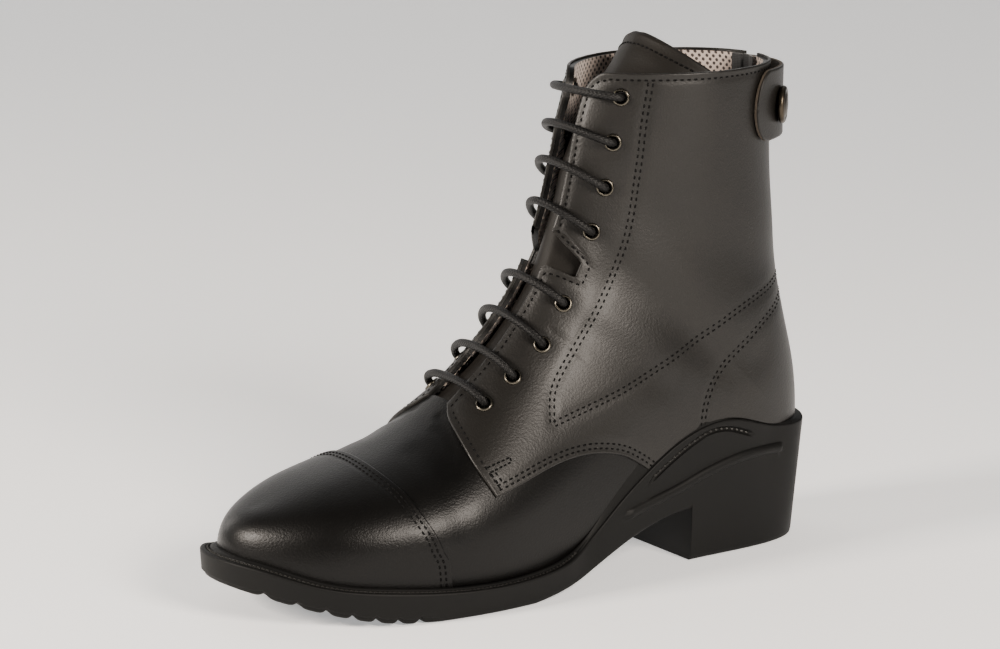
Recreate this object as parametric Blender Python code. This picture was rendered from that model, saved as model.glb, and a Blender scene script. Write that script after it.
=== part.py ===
"""Left jodhpur boot: laced leather upper, rear zip under a snap strap, moulded rubber sole.

Tables are in millimetres, meshes in metres.
+X points to the toe, +Y to the outer side of the foot, +Z up, and the floor is Z = 0.
"""
import bpy
import numpy as np
from math import cos, pi, sin

for old in list(bpy.data.objects):
    bpy.data.objects.remove(old, do_unlink=True)

MM = 0.001

# Driving sizes
ORIGIN = np.array([134.188, 0.730, 0.0])
GAP = 0.3
UPPER_OUT = -1.1
UPPER_WALL = 1.6
OVERLAY_IN = -0.45
OVERLAY_OUT = 0.6
THROAT_U = 0.462
THROAT_V = 4.9
ZIP_U = 0.016
ZIP_V = 14.2
NOTCH_U = 0.404
NOTCH_V = (9.05, 10.45)
COLLAR_V = 19.0
HEEL_V = 12
TIP_V = 0.06
TIP_SHARE = 0.94
LACE_RADIUS = 1.7
EYELET_HOLE = 2.4
EYELET_RADIUS = 3.7
EYELET_RISE = 1.1
INSOLE_THICK = 3.0
TONGUE_THICK = 2.4
TONGUE_GAP = 0.9
TONGUE_LEAN = 24.0
TONGUE_LEAN_V = 13.5
TONGUE_HEAD_V = 20.0
TONGUE_DROP_V = 1.15
STRAP_THICK = 2.0
STRAP_Z = (174.0, 204.0)
SNAP_RADIUS = 7.0
PULL_PIVOT_Z = 194.0
PULL_LENGTH = 24.0

# Sections of the last, toe to collar: feather point, top point, widths, fullness
COLUMNS = ("foot_x", "foot_z", "foot_lateral", "foot_medial", "top_x", "top_z", "top_y",
           "lateral", "medial", "belly", "low_power", "high_power", "bow")
SECTIONS = {
    "tip":         (266, 22.0, -7, -7, 254, 42, -7, -7, -7, .45, 2.2, 2.2, 5.0),
    "toe":         (261, 20.5, 9, -22, 247, 45, -6.5, 10, -23, .42, 2.3, 2.2, 4.0),
    "cap":         (244, 16.0, 27.5, -36, 232, 51, -6, 29.5, -38, .38, 2.4, 2.2, 1.5),
    "cap_back":    (219, 12.0, 39.5, -43, 211, 57, -5, 41.5, -45, .36, 2.4, 2.1, 0),
    "ball":        (190, 9.5, 45, -43.5, 187, 66, -4, 47, -45.5, .34, 2.4, 2.0, 0),
    "vamp":        (160, 9.0, 45, -37.5, 168, 79, -3, 47, -41.5, .34, 2.4, 1.9, 0),
    "waist":       (128, 12.5, 39.5, -29.5, 152, 94.5, -2, 42.5, -36.5, .36, 2.3, 1.85, 0),
    "arch":        (95, 21.0, 33.5, -27, 140, 109, -1, 38.5, -34, .38, 2.3, 1.8, 0),
    "breast":     (62, 30.0, 31.5, -28.5, 131.5, 122, 0, 36.5, -33.5, .40, 2.4, 1.8, 0),
    "seat":       (35, 34.0, 30.5, -29, 126, 134, 0, 35.5, -33, .42, 2.5, 1.8, 0),
    "heel_side":   (12.8, 35.0, 26, -25, 122.5, 144, 0, 35, -33, .44, 2.5, 1.8, 0),
    "heel_turn":   (1.6, 35.0, 15, -14.5, 120.5, 150, 0, 35, -33, .45, 2.4, 1.8, 0),
    "heel":        (-1.5, 35.0, 0, 0, 119, 155, 0, 35, -33.5, .46, 2.4, 1.8, 0),
    "counter":     (-2.5, 52.0, 0, 0, 117, 162, 0, 34.5, -33.5, .47, 2.4, 1.8, 0),
    "counter_top": (-0.5, 74.0, 0, 0, 115, 169.5, 0, 34, -33.5, .48, 2.3, 1.8, 0),
    "achilles":    (6, 100.0, 0, 0, 113, 177, 0, 34, -33.5, .49, 2.25, 1.75, 0),
    "ankle":      (10.5, 130.0, 0, 0, 111, 185, 0, 34.5, -34, .50, 2.2, 1.75, 0),
    "shaft":       (13, 160.0, 0, 0, 108.5, 192.5, 0, 35.5, -35, .50, 2.1, 1.7, 0),
    "cuff":        (14, 187.0, 0, 0, 106, 199.5, 0, 36.5, -36, .50, 2.1, 1.7, 0),
    "collar":      (14, 206.5, 0, 0, 104, 206, 0, 37, -36.5, .50, 2.1, 1.7, 0),
    "tongue_top":  (13, 226.0, 0, 0, 101.5, 220, 0, 37.5, -37, .50, 2.1, 1.7, 0),
}
EVEN_COLUMNS = ("foot_x", "foot_z", "top_x", "top_z", "top_y", "bow")

# Sole edge along the length: how far it stands out from the feather line, and its rim height
SOLE_COLUMNS = ("x", "low_out", "rim_lateral", "rim_medial", "rim_z")
SOLE_EDGE = {
    "heel_back":  (-8, -0.5, 3.6, 3.6, 52.5),
    "heel_turn":  (12, 0.0, 4.8, 4.8, 51.5),
    "heel_dip":   (24, 0.4, 5.4, 5.4, 52.5),
    "heel_peak":  (48, 0.5, 6.2, 6.0, 59.0),
    "breast":     (64, 0.8, 6.3, 6.6, 57.8),
    "wave_high":  (79, 1.5, 6.4, 7.4, 52.0),
    "wave":       (95, 2.2, 6.0, 7.6, 42.0),
    "wave_low":   (110, 3.0, 5.2, 6.8, 31.0),
    "waist":      (123, 3.6, 4.8, 5.8, 21.0),
    "wave_foot":  (137, 4.0, 4.9, 5.2, 14.2),
    "ball_back":  (152, 4.2, 5.2, 5.2, 11.6),
    "ball":       (190, 4.4, 5.5, 5.5, 11.3),
    "cap":        (222, 4.6, 5.8, 5.8, 14.3),
    "toe":        (246, 5.0, 6.4, 6.4, 18.8),
    "toe_turn":   (260, 6.0, 7.4, 7.4, 24.2),
    "toe_tip":    (275, 7.0, 8.4, 8.4, 27.5),
}
# Side of the sole, floor to rim: drop below the rim, and how far it stands out there
SOLE_SIDE = (
    ("rib_under", 19.0, 0.0),
    ("rib_low", 17.6, 1.0),
    ("rib_high", 14.8, 1.0),
    ("rib_over", 13.4, 0.0),
    ("groove_low", 6.6, 0.0),
    ("groove", 5.2, -1.1),
    ("groove_high", 3.8, 0.0),
    ("rim_edge", 0.9, 0.0),
)
RIM_PEAK = 59.0
ARCH = ((67, 23.0), (78, 22.0), (90, 19.2), (103, 15.0), (115, 10.4), (128, 5.6), (140, 2.4),
        (158, -0.3))
TOE_SPRING = ((203, -0.3), (216, 0.6), (230, 3.0), (245, 7.2), (260, 12.6), (275, 18.6), (290, 25.0))
BREAST_FOOT_X = 69.5
LUG_PITCH = 8.4
LUG_COUNT = 7
LUG_FIRST_X = 206.5
LUG_SLOT = 2.6
LUG_DEPTH = 2.4

# Seams of the upper in section coordinates, outer side
CAP_SEAM = ((0.0, 3.84), (.242, 3.66), (.278, 3.53), (.323, 3.26), (.388, 2.99), (.467, 2.90),
            (.5, 2.92), (.6, 3.0), (.7, 3.0), (1.0, 2.9))
QUARTER_FRONT = ((.307, 4.68), (.345, 4.53), (.379, 4.46), (.437, 4.59), (.463, 4.78))
QUARTER_LOW = ((4.4, .309), (5.57, .299), (6.51, .276), (6.99, .248), (7.27, .201), (7.41, .155))
EYELETS = ((.398, 17.79), (.396, 15.95), (.401, 14.05), (.410, 11.61),
           (.408, 8.14), (.403, 7.02), (.411, 6.07), (.420, 5.31))

# Grid lines of the upper
U_SIDE = (0, ZIP_U, .04, .07, .1, .135, .175, .22, .27, .32, .365, NOTCH_U, .434, THROAT_U)
U_MIDDLE = (.481, .5, .519)
V_ROWS = (0, .2, .45, .75, 1.1, 1.5, 2, 2.5, 3, 3.5, 4, 4.45, THROAT_V, 5.5, 6.1, 6.6, 7, 7.4, 7.9, 8.5,
          NOTCH_V[0], 9.3, 9.75, 10.2, NOTCH_V[1], 10.9, 11.4, HEEL_V, 12.6, 13.2, ZIP_V,
          15, 16, 17, 18, COLLAR_V)
RIM_ROWS = (12.75, 12.9, 13.0, 13.1)


# Curves

def spline(t, y, x, flat_start=False, flat_end=False):
    """Cubic spline through (t, y) at x, with natural or level ends."""
    t, y, x = (np.asarray(a, float) for a in (t, y, x))
    n, h = len(t), np.diff(t)
    system, right = np.eye(n), np.zeros(n)
    if flat_start:
        system[0, :2] = 2 * h[0], h[0]
        right[0] = 6 * (y[1] - y[0]) / h[0]
    if flat_end:
        system[-1, -2:] = h[-1], 2 * h[-1]
        right[-1] = -6 * (y[-1] - y[-2]) / h[-1]
    for i in range(1, n - 1):
        system[i, i - 1:i + 2] = h[i - 1], 2 * (h[i - 1] + h[i]), h[i]
        right[i] = 6 * ((y[i + 1] - y[i]) / h[i] - (y[i] - y[i - 1]) / h[i - 1])
    m = np.linalg.solve(system, right)
    k = np.clip(np.searchsorted(t, x, "right") - 1, 0, n - 2)
    after, before, step = x - t[k], t[k + 1] - x, h[k]
    bend = (m[k] * before ** 3 + m[k + 1] * after ** 3) / (6 * step)
    return (bend + (y[k] / step - m[k] * step / 6) * before
            + (y[k + 1] / step - m[k + 1] * step / 6) * after)


def lookup(table, x):
    """Straight-line value of a short (x, y) table."""
    xs, ys = zip(*table)
    return np.interp(x, xs, ys)


def sections_at(v):
    """Every column of SECTIONS at fan position v."""
    v = np.asarray(v, float)
    table = np.array(list(SECTIONS.values()), float)
    rows = np.arange(len(table))
    out = {}
    for name, column in zip(COLUMNS, table.T):
        even = name in EVEN_COLUMNS
        if name.startswith("foot"):
            toe_to_heel = slice(0, HEEL_V + 1)
            feather = spline(rows[toe_to_heel], column[toe_to_heel], np.minimum(v, HEEL_V), even, even)
            back = spline(rows[HEEL_V:], column[HEEL_V:], np.maximum(v, HEEL_V))
            out[name] = np.where(v < HEEL_V, feather, back)
        else:
            out[name] = spline(rows, column, v, even)
    return out


def sole_at(x):
    """Every column of SOLE_EDGE at length x."""
    table = np.array(list(SOLE_EDGE.values()), float).T
    return {name: spline(table[0], column, x) for name, column in zip(SOLE_COLUMNS, table)}


# The last

def last_point(u, v):
    """Point of the last: u 0 outer feather, 0.5 top, 1 inner feather; v 0 toe tip to collar.

    Each half section is two superellipse arcs, feather to widest and widest to top, laid along
    the chord from the feather point (back of the leg above the heel) to the top point.
    """
    u, v = np.broadcast_arrays(np.asarray(u, float), np.asarray(v, float))
    c = sections_at(v)
    outer = u <= 0.5
    w = np.where(outer, u, 1 - u) * 4
    y_foot = np.where(outer, c["foot_lateral"], c["foot_medial"])
    y_wide = np.where(outer, c["lateral"], c["medial"])
    low, high = 2 / c["low_power"], 2 / c["high_power"]
    span = y_wide - c["top_y"]
    point = np.abs(span) < 1e-3
    share = np.where(point, TIP_SHARE, (y_foot - c["top_y"]) / np.where(point, 1, span))
    start = np.arcsin(np.clip(share, 0, 0.985) ** (1 / low))
    a = start + (pi / 2 - start) * np.clip(w, 0, 1)
    b = np.clip(w - 1, 0, 1) * pi / 2
    y_low = c["top_y"] + span * np.sin(a) ** low
    s_low = c["belly"] * (1 - (np.maximum(np.cos(a), 0) / np.cos(start)) ** low)
    y_high = c["top_y"] + span * np.maximum(np.cos(b), 0) ** high
    s_high = c["belly"] + (1 - c["belly"]) * np.sin(b) ** high
    y = np.where(w <= 1, y_low, y_high)
    s = np.where(w <= 1, s_low, s_high)
    dx, dz = c["top_x"] - c["foot_x"], c["top_z"] - c["foot_z"]
    bow = c["bow"] * 4 * s * (1 - s) / np.hypot(dx, dz)
    return np.stack([c["foot_x"] + dx * s + bow * dz, y, c["foot_z"] + dz * s - bow * dx], -1)


def last_normal(u, v):
    """Outward normal of the last, by small steps along the section and along the fan."""
    u, v = np.broadcast_arrays(np.asarray(u, float), np.asarray(v, float))
    v = np.maximum(v, TIP_V)
    du, dv = 1e-3, 1e-2
    along_u = last_point(np.minimum(u + du, 1), v) - last_point(np.maximum(u - du, 0), v)
    along_v = last_point(u, v + dv) - last_point(u, np.maximum(v - dv, 0))
    n = np.cross(along_v, along_u)
    return n / np.linalg.norm(n, axis=-1, keepdims=True)


def skin(u, v, out):
    """Point of the last moved outwards by out."""
    return last_point(u, v) + np.asarray(out, float)[..., None] * last_normal(u, v)


def rim_u(v, medial=False, clear=0.7):
    """Section coordinate where the upper comes out of the sole's rim."""
    fine = np.linspace(0, 0.3, 241)
    found = []
    for row in np.atleast_1d(v):
        p = last_point(1 - fine if medial else fine, row)
        over = p[:, 2] - sole_at(p[:, 0])["rim_z"] - clear
        found.append(fine[np.argmax(over > 0)])
    return np.array(found)


def v_at_height(u, z, low=16.0, high=19.8):
    """Fan position of a height on the shaft."""
    fine = np.linspace(low, high, 160)
    return np.interp(z, last_point(u, fine)[:, 2], fine)


# Mesh helpers

def material(name, colour, roughness, metallic=0.0):
    """Principled material from an sRGB hex colour."""
    mat = bpy.data.materials.new(name)
    mat.use_nodes = True
    rgb = [int(colour[i:i + 2], 16) / 255 for i in (1, 3, 5)]
    linear = [x / 12.92 if x <= 0.04045 else ((x + 0.055) / 1.055) ** 2.4 for x in rgb]
    shader = mat.node_tree.nodes["Principled BSDF"]
    shader.inputs["Base Color"].default_value = (*linear, 1)
    shader.inputs["Roughness"].default_value = roughness
    shader.inputs["Metallic"].default_value = metallic
    mat.diffuse_color = (*linear, 1)
    return mat


LEATHER = material("black_leather", "#2a2926", 0.42)
RUBBER = material("black_rubber", "#262624", 0.65)
METAL = material("gunmetal", "#6f6c66", 0.35, 1.0)
CORD = material("waxed_cord", "#1b1a19", 0.6)
BOARD = material("insole_fabric", "#8d8078", 0.9)
TAPE = material("zip_tape", "#1f2023", 0.75)


def add_object(name, points, faces, mat, pivot=ORIGIN):
    """Object from millimetre points, with its own origin at pivot."""
    mesh = bpy.data.meshes.new(name)
    mesh.from_pydata(((np.asarray(points) - pivot) * MM).tolist(), [], faces)
    mesh.materials.append(mat)
    obj = bpy.data.objects.new(name, mesh)
    obj.location = (np.asarray(pivot) - ORIGIN) * MM
    bpy.context.scene.collection.objects.link(obj)
    return obj


def grid_faces(ids, keep=None, flip_from=None):
    """Triangles of a grid of point numbers, each cell split the same way on both sides of the boot."""
    rows, cols = ids.shape
    flip_from = cols // 2 if flip_from is None else flip_from
    faces = []
    for i in range(rows - 1):
        for j in range(cols - 1):
            if keep is None or keep[i, j]:
                a, b, c, d = (int(k) for k in (ids[i, j], ids[i, j + 1], ids[i + 1, j + 1], ids[i + 1, j]))
                folded = i == 0 and ids[0, 0] == ids[0, -1]
                pair = ((a, d, c), (a, c, b)) if (j < flip_from) != folded else ((b, a, d), (b, d, c))
                faces += [list(f) for f in pair if len(set(f)) == 3]
    return faces


def add_shell(name, outer, inner, mat, keep=None, ids=None, flip_from=None):
    """Closed wall between two grids; keep drops cells, ids joins grid points that coincide."""
    rows, cols = outer.shape[:2]
    if ids is None:
        ids = np.arange(rows * cols).reshape(rows, cols)
    count = rows * cols
    skin_faces = grid_faces(ids, keep, flip_from)
    edges = {(f[k - 1], f[k]) for f in skin_faces for k in range(3)}
    faces = skin_faces + [[k + count for k in reversed(f)] for f in skin_faces]
    faces += [[b, a, a + count, b + count] for a, b in sorted(edges) if (b, a) not in edges]
    add_used(name, np.concatenate([outer.reshape(-1, 3), inner.reshape(-1, 3)]), faces, mat)


def add_used(name, points, faces, mat):
    """Closed object from only those points that its faces use."""
    used = sorted({k for f in faces for k in f})
    number = {k: n for n, k in enumerate(used)}
    obj = add_object(name, points[used], [[number[k] for k in f] for f in faces], mat)
    face_out(obj)
    return obj


def add_tube(name, path, radius, sides, mat):
    """Round cord along a path, closed by flat ends."""
    tangent = np.gradient(path, axis=0)
    tangent /= np.linalg.norm(tangent, axis=1, keepdims=True)
    side = np.cross(tangent, (0.3, 0.0, 1.0))
    side /= np.linalg.norm(side, axis=1, keepdims=True)
    up = np.cross(side, tangent)
    rings = [path + radius * (cos(a) * side + sin(a) * up) for a in np.arange(sides) * 2 * pi / sides]
    points = np.stack(rings, 1)
    return add_loft(name, points, mat)


def add_loft(name, loops, mat, pivot=ORIGIN):
    """Closed solid through a stack of closed loops, all with the same number of points."""
    n, m = loops.shape[:2]
    faces = []
    for i in range(n - 1):
        for j in range(m):
            k = (j + 1) % m
            faces.append([i * m + j, i * m + k, (i + 1) * m + k, (i + 1) * m + j])
    faces.append(list(range(m))[::-1])
    faces.append([(n - 1) * m + j for j in range(m)])
    obj = add_object(name, loops.reshape(-1, 3), faces, mat, pivot)
    face_out(obj)
    return obj


def face_out(obj):
    """Turn a closed mesh inside out where its volume comes out negative."""
    mesh = obj.data
    volume = 0.0
    for poly in mesh.polygons:
        corner = [mesh.vertices[k].co for k in poly.vertices]
        for k in range(1, len(corner) - 1):
            volume += corner[0].dot(corner[k].cross(corner[k + 1]))
    if volume < 0:
        mesh.flip_normals()


def add_prism(name, outline, y_low, y_high, mat):
    """Solid with a side-view outline (x, z), running across the boot."""
    loops = [[(x, y, z) for x, z in outline] for y in (y_low, y_high)]
    return add_loft(name, np.array(loops, float), mat)


def cut(obj, cutter):
    """Exact Boolean difference; the cutter stays as a hidden wire object."""
    cutter.hide_render = True
    cutter.display_type = "WIRE"
    step = obj.modifiers.new(cutter.name, "BOOLEAN")
    step.operation = "DIFFERENCE"
    step.solver = "EXACT"
    step.object = cutter


def turned_loops(u, v, profile, segments):
    """Loops of a turned piece standing on the skin: profile is (radius, height) along the normal."""
    n = last_normal(u, v)
    centre = last_point(u, v)
    side = np.cross(n, (0.0, 0.0, 1.0))
    side /= np.linalg.norm(side)
    up = np.cross(side, n)
    angle = np.arange(segments) * 2 * pi / segments
    loops = []
    for radius, height in profile:
        spoke = np.cos(angle)[:, None] * side + np.sin(angle)[:, None] * up
        loops.append(centre + radius * spoke + height * n)
    return np.array(loops)


# Upper

def make_upper():
    """Hollow leather shell: open at collar, throat, rear zip, facing notches and underneath."""
    u_row = np.array(U_SIDE + U_MIDDLE + tuple(1 - x for x in reversed(U_SIDE)))
    v_col = np.array(V_ROWS, float)
    u, v = np.meshgrid(u_row, v_col)
    v = v - collar_corner(u, v)
    rows, cols = u.shape
    ids = np.arange(rows * cols).reshape(rows, cols)
    ids[0] = np.minimum(ids[0], ids[0][::-1])
    joined = (v_col >= HEEL_V) & (v_col <= ZIP_V)
    ids[joined, -1] = ids[joined, 0]
    u_mid = (u_row[:-1] + u_row[1:]) / 2
    half = np.minimum(u_mid, 1 - u_mid)[None, :]
    v_mid = ((v_col[:-1] + v_col[1:]) / 2)[:, None]
    throat = (half > THROAT_U) & (v_mid > THROAT_V)
    zip_slot = (half < ZIP_U) & (v_mid > ZIP_V)
    notch = (half > NOTCH_U) & (v_mid > NOTCH_V[0]) & (v_mid < NOTCH_V[1])
    keep = ~(throat | zip_slot | notch)
    outer, inner, grown = (skin(u, v, np.full(u.shape, out))
                           for out in (UPPER_OUT, UPPER_OUT - UPPER_WALL, UPPER_OUT + GAP))
    foot = v_col <= HEEL_V
    seat = sections_at(v_col[foot])["foot_z"]
    for wall, drop in ((outer, 0), (inner, 0), (grown, GAP)):
        for column in (0, -1):
            wall[foot, column, 2] = seat - drop
    add_shell("upper", outer, inner, LEATHER, keep, ids)
    return grown, ids, v_col


def collar_corner(u, v):
    """Drop of the collar's front corners, in fan steps."""
    half = np.minimum(u, 1 - u)
    return np.where(v >= COLLAR_V, 0.3 * np.clip((half - 0.434) / (THROAT_U - 0.434), 0, 1) ** 2, 0)


def add_envelope(name, grown, ids, v_col):
    """The upper's outside as one filled body, for the hollow of the sole."""
    closed = ids.copy()
    closed[v_col > HEEL_V, -1] = closed[v_col > HEEL_V, 0]
    faces = grid_faces(closed)
    foot = closed[v_col <= HEEL_V]
    faces += grid_faces(np.c_[foot[:, -1], foot[:, 0]])
    faces.append([int(k) for k in closed[-1, :-1]][::-1])
    return add_used(name, grown.reshape(-1, 3), faces, RUBBER)


# Sole

def feather_ring():
    """Feather line as a closed ring with its outward normals, tip first along the outer side."""
    c = sections_at([v for v in V_ROWS if v <= HEEL_V])
    outer = np.c_[c["foot_x"], c["foot_lateral"]]
    inner = np.c_[c["foot_x"], c["foot_medial"]][1:-1][::-1]
    ring = np.concatenate([outer, inner])
    tangent = np.roll(ring, -1, 0) - np.roll(ring, 1, 0)
    normal = np.c_[tangent[:, 1], -tangent[:, 0]]
    normal /= np.linalg.norm(normal, axis=1, keepdims=True)
    return ring, normal, len(outer)


def make_sole(envelope):
    """Moulded unit: welt ledge, raised wave and heel, cut out by the upper, arch and toe spring."""
    ring, normal, half = feather_ring()
    edge = sole_at(ring[:, 0])
    rim_out = np.where(np.arange(len(ring)) < half, edge["rim_lateral"], edge["rim_medial"])
    scale = edge["rim_z"] / RIM_PEAK
    fade = np.clip((scale - 0.3) / 0.4, 0, 1)
    levels = [(np.zeros(len(ring)), edge["low_out"] - 1.2), (np.full(len(ring), 1.6), edge["low_out"])]
    for name, drop, out in SOLE_SIDE:
        z = edge["rim_z"] - drop * scale
        lean = np.clip(z / edge["rim_z"], 0, 1)
        levels.append((z, edge["low_out"] * (1 - lean) + rim_out * lean + out * fade))
    levels.append((edge["rim_z"], rim_out - 0.9))
    loops = [np.c_[ring + normal * out[:, None], z] for z, out in levels]
    n, m = len(loops), len(ring)
    points = np.concatenate(loops)
    faces = []
    for i in range(n - 1):
        for j in range(m):
            k = (j + 1) % m
            faces.append([i * m + j, i * m + k, (i + 1) * m + k, (i + 1) * m + j])
    for base in (0, (n - 1) * m):
        for j in range(half - 1):
            far, near = (m - j) % m, m - j - 1
            quad = [base + j, base + far, base + near, base + j + 1]
            quad = [k for q, k in enumerate(quad) if k != quad[q - 1]]
            faces.append(quad if base == 0 else quad[::-1])
    sole = add_object("sole_unit", points, faces, RUBBER)
    face_out(sole)
    cut(sole, envelope)
    wide = 70.0
    xs = np.linspace(ARCH[0][0], ARCH[-1][0], 12)
    arch = list(zip(xs, spline(*zip(*ARCH), xs)))
    arch = [(BREAST_FOOT_X, -3)] + arch + [(ARCH[-1][0], -3)]
    cut(sole, add_prism("cut_arch", arch, -wide, wide, RUBBER))
    xs = np.linspace(TOE_SPRING[0][0], TOE_SPRING[-1][0], 9)
    spring = list(zip(xs, spline(*zip(*TOE_SPRING), xs)))
    cut(sole, add_prism("cut_toe", spring + [(xs[-1], -3), (xs[0], -3)], -wide, wide, RUBBER))
    for k in range(LUG_COUNT):
        x = LUG_FIRST_X + k * LUG_PITCH
        top = max(float(spline(*zip(*TOE_SPRING), x)), 0) + LUG_DEPTH
        slot = [(x, -4), (x, top), (x + LUG_SLOT, top + 0.5), (x + LUG_SLOT, -4)]
        cut(sole, add_prism("cut_lug_%d" % (k + 1), slot, -wide, wide, RUBBER))


def make_insole():
    """Footbed board lying on the sole inside the feather."""
    ring, normal, half = feather_ring()
    inset = UPPER_WALL - UPPER_OUT + 2 * GAP
    flat = ring - normal * inset
    c = sections_at([v for v in V_ROWS if v <= HEEL_V])
    z = np.interp(flat[:, 0], c["foot_x"][::-1], c["foot_z"][::-1]) + GAP / 2
    m = len(ring)
    points = np.concatenate([np.c_[flat, z], np.c_[flat, z + INSOLE_THICK]])
    faces = [[j, (j + 1) % m, m + (j + 1) % m, m + j] for j in range(m)]
    for base in (0, m):
        for j in range(half - 1):
            quad = [base + j, base + (m - j) % m, base + m - j - 1, base + j + 1]
            quad = [k for q, k in enumerate(quad) if k != quad[q - 1]]
            faces.append(quad if base == 0 else quad[::-1])
    face_out(add_object("insole", points, faces, BOARD))


# Overlays

def make_toe_cap():
    """Leather cap over the toe, from the welt to the cap seam."""
    r = np.array((0, .06, .15, .26, .4, .55, .7, .85, 1.0))
    s = np.linspace(0, 1, 21)
    r, s = np.meshgrid(r, s, indexing="ij")
    u = s.copy()
    for _ in range(4):
        v = r * lookup(CAP_SEAM, u)
        low = rim_u(v.ravel()).reshape(v.shape)
        high = 1 - rim_u(v.ravel(), medial=True).reshape(v.shape)
        u = low + (high - low) * s
    u[0] = (u[0] + 1 - u[0][::-1]) / 2
    ids = np.arange(u.size).reshape(u.shape)
    ids[0] = np.minimum(ids[0], ids[0][::-1])
    outer = skin(u, v, np.full(u.shape, OVERLAY_OUT))
    inner = skin(u, v, np.full(u.shape, OVERLAY_IN))
    add_shell("toe_cap", outer, inner, LEATHER, None, ids)


def facing_u(v):
    """Front edge of the quarter, with the round notch between the eyelet groups."""
    t = np.clip(np.abs(v - sum(NOTCH_V) / 2) / (NOTCH_V[1] - NOTCH_V[0]) * 2, 0, 1)
    return THROAT_U - (THROAT_U - NOTCH_U) * (1 - t ** 2.6) ** 0.6


def make_quarter(name, medial):
    """Leather side of the boot: facing, shaft and heel, lapped over the vamp on the upper's own grid."""
    v_rows = np.array(sorted({4.6, *RIM_ROWS, *(v for v in V_ROWS if v >= THROAT_V)}))
    u_row = np.array(U_SIDE[1:])
    rim = rim_u(v_rows, medial)
    low = np.where(v_rows < 7.42, lookup(QUARTER_LOW, v_rows), rim)
    low = np.maximum(low, ZIP_U)[:, None]
    high = facing_u(v_rows)[:, None]
    u = np.clip(u_row[None, :], low, high)
    number = np.arange(u.size).reshape(u.shape)
    first = np.argmax(u_row[None, :] > low, axis=1) - 1
    last = len(u_row) - np.argmax(u_row[None, ::-1] < high, axis=1)
    ids = np.take_along_axis(number, np.clip(np.arange(len(u_row)), first[:, None], last[:, None]), 1)
    v = np.repeat(v_rows[:, None], len(u_row), 1)
    v[0] = lookup(QUARTER_FRONT, u[0])
    v = v - collar_corner(u, v)
    outer = skin(1 - u if medial else u, v, np.full(u.shape, OVERLAY_OUT))
    inner = skin(1 - u if medial else u, v, np.full(u.shape, OVERLAY_IN))
    add_shell(name, outer, inner, LEATHER, None, ids, len(u_row))


def make_tongue():
    """Padded tongue under the throat; its head leans back inside the collar."""
    v_low = 4.55
    r = np.linspace(0, 1, 12)
    s = np.linspace(-1, 1, 9)
    r, s = np.meshgrid(r, s, indexing="ij")
    crown = TONGUE_HEAD_V - TONGUE_DROP_V * np.clip((np.abs(s) - 0.1) / 0.9, 0, 1) ** 1.6
    v = v_low + (crown - v_low) * r
    width = lookup(((4.5, .095), (7, .105), (12, .14), (19, .185)), v)
    u = 0.5 - s[:, ::-1] * width
    lean = TONGUE_LEAN * np.clip((v - TONGUE_LEAN_V) / (TONGUE_HEAD_V - TONGUE_LEAN_V), 0, 1) ** 1.8
    back = np.stack([lean, 0 * lean, 0 * lean], -1)
    top = UPPER_OUT - UPPER_WALL - TONGUE_GAP
    outer = skin(u[:, ::-1], v, np.full(u.shape, top)) - back
    inner = skin(u[:, ::-1], v, np.full(u.shape, top - TONGUE_THICK)) - back
    add_shell("tongue", outer, inner, LEATHER)


# Fastenings

def make_eyelets():
    """Rolled eyelet rings on both facings."""
    low = OVERLAY_OUT + GAP
    profile = ((EYELET_HOLE, low), (EYELET_RADIUS, low), (EYELET_HOLE + 0.5, low + EYELET_RISE))
    for side, flip in (("lateral", False), ("medial", True)):
        for k, (u, v) in enumerate(EYELETS):
            loops = turned_loops(1 - u if flip else u, v, profile, 8)
            n, m = loops.shape[:2]
            faces = [[i * m + j, i * m + (j + 1) % m, (i + 1) % n * m + (j + 1) % m, (i + 1) % n * m + j]
                     for i in range(n) for j in range(m)]
            face_out(add_object("eyelet_%s_%d" % (side, k + 1), loops.reshape(-1, 3), faces, METAL))


def make_lace():
    """One bar of round cord across the throat at each pair of eyelets."""
    lift = OVERLAY_OUT + GAP + EYELET_RISE + GAP + LACE_RADIUS
    f = np.linspace(0, 1, 8)
    for k, (u_eye, v_eye) in enumerate(EYELETS):
        u = u_eye + f * (1 - 2 * u_eye)
        out = lift - 0.9 * np.sin(pi * f) ** 4
        add_tube("lace_bar_%d" % (k + 1), skin(u, np.full(u.shape, v_eye), out), LACE_RADIUS, 6, CORD)


def strap_grid(s, z_share, out):
    """Grid of the strap: s runs from the outer end (-1) round the back to the inner end (1)."""
    u = np.where(s < 0, 0.178 * -s, 1 - 0.215 * s) % 1.0
    end = np.clip((np.abs(s) - 0.86) / 0.14, 0, 1)
    tall = np.sqrt(np.clip(1 - 0.75 * end ** 2, 0, 1))
    middle, reach = sum(STRAP_Z) / 2, (STRAP_Z[1] - STRAP_Z[0]) / 2
    z = middle + reach * z_share * tall
    v = np.array([v_at_height(a, b) for a, b in zip(u.ravel(), z.ravel())]).reshape(u.shape)
    stand = 1.1 + 5.1 * np.cos(np.clip(s, -1, 1) * pi / 2) ** 2
    return skin(u, v, stand + out)


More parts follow.
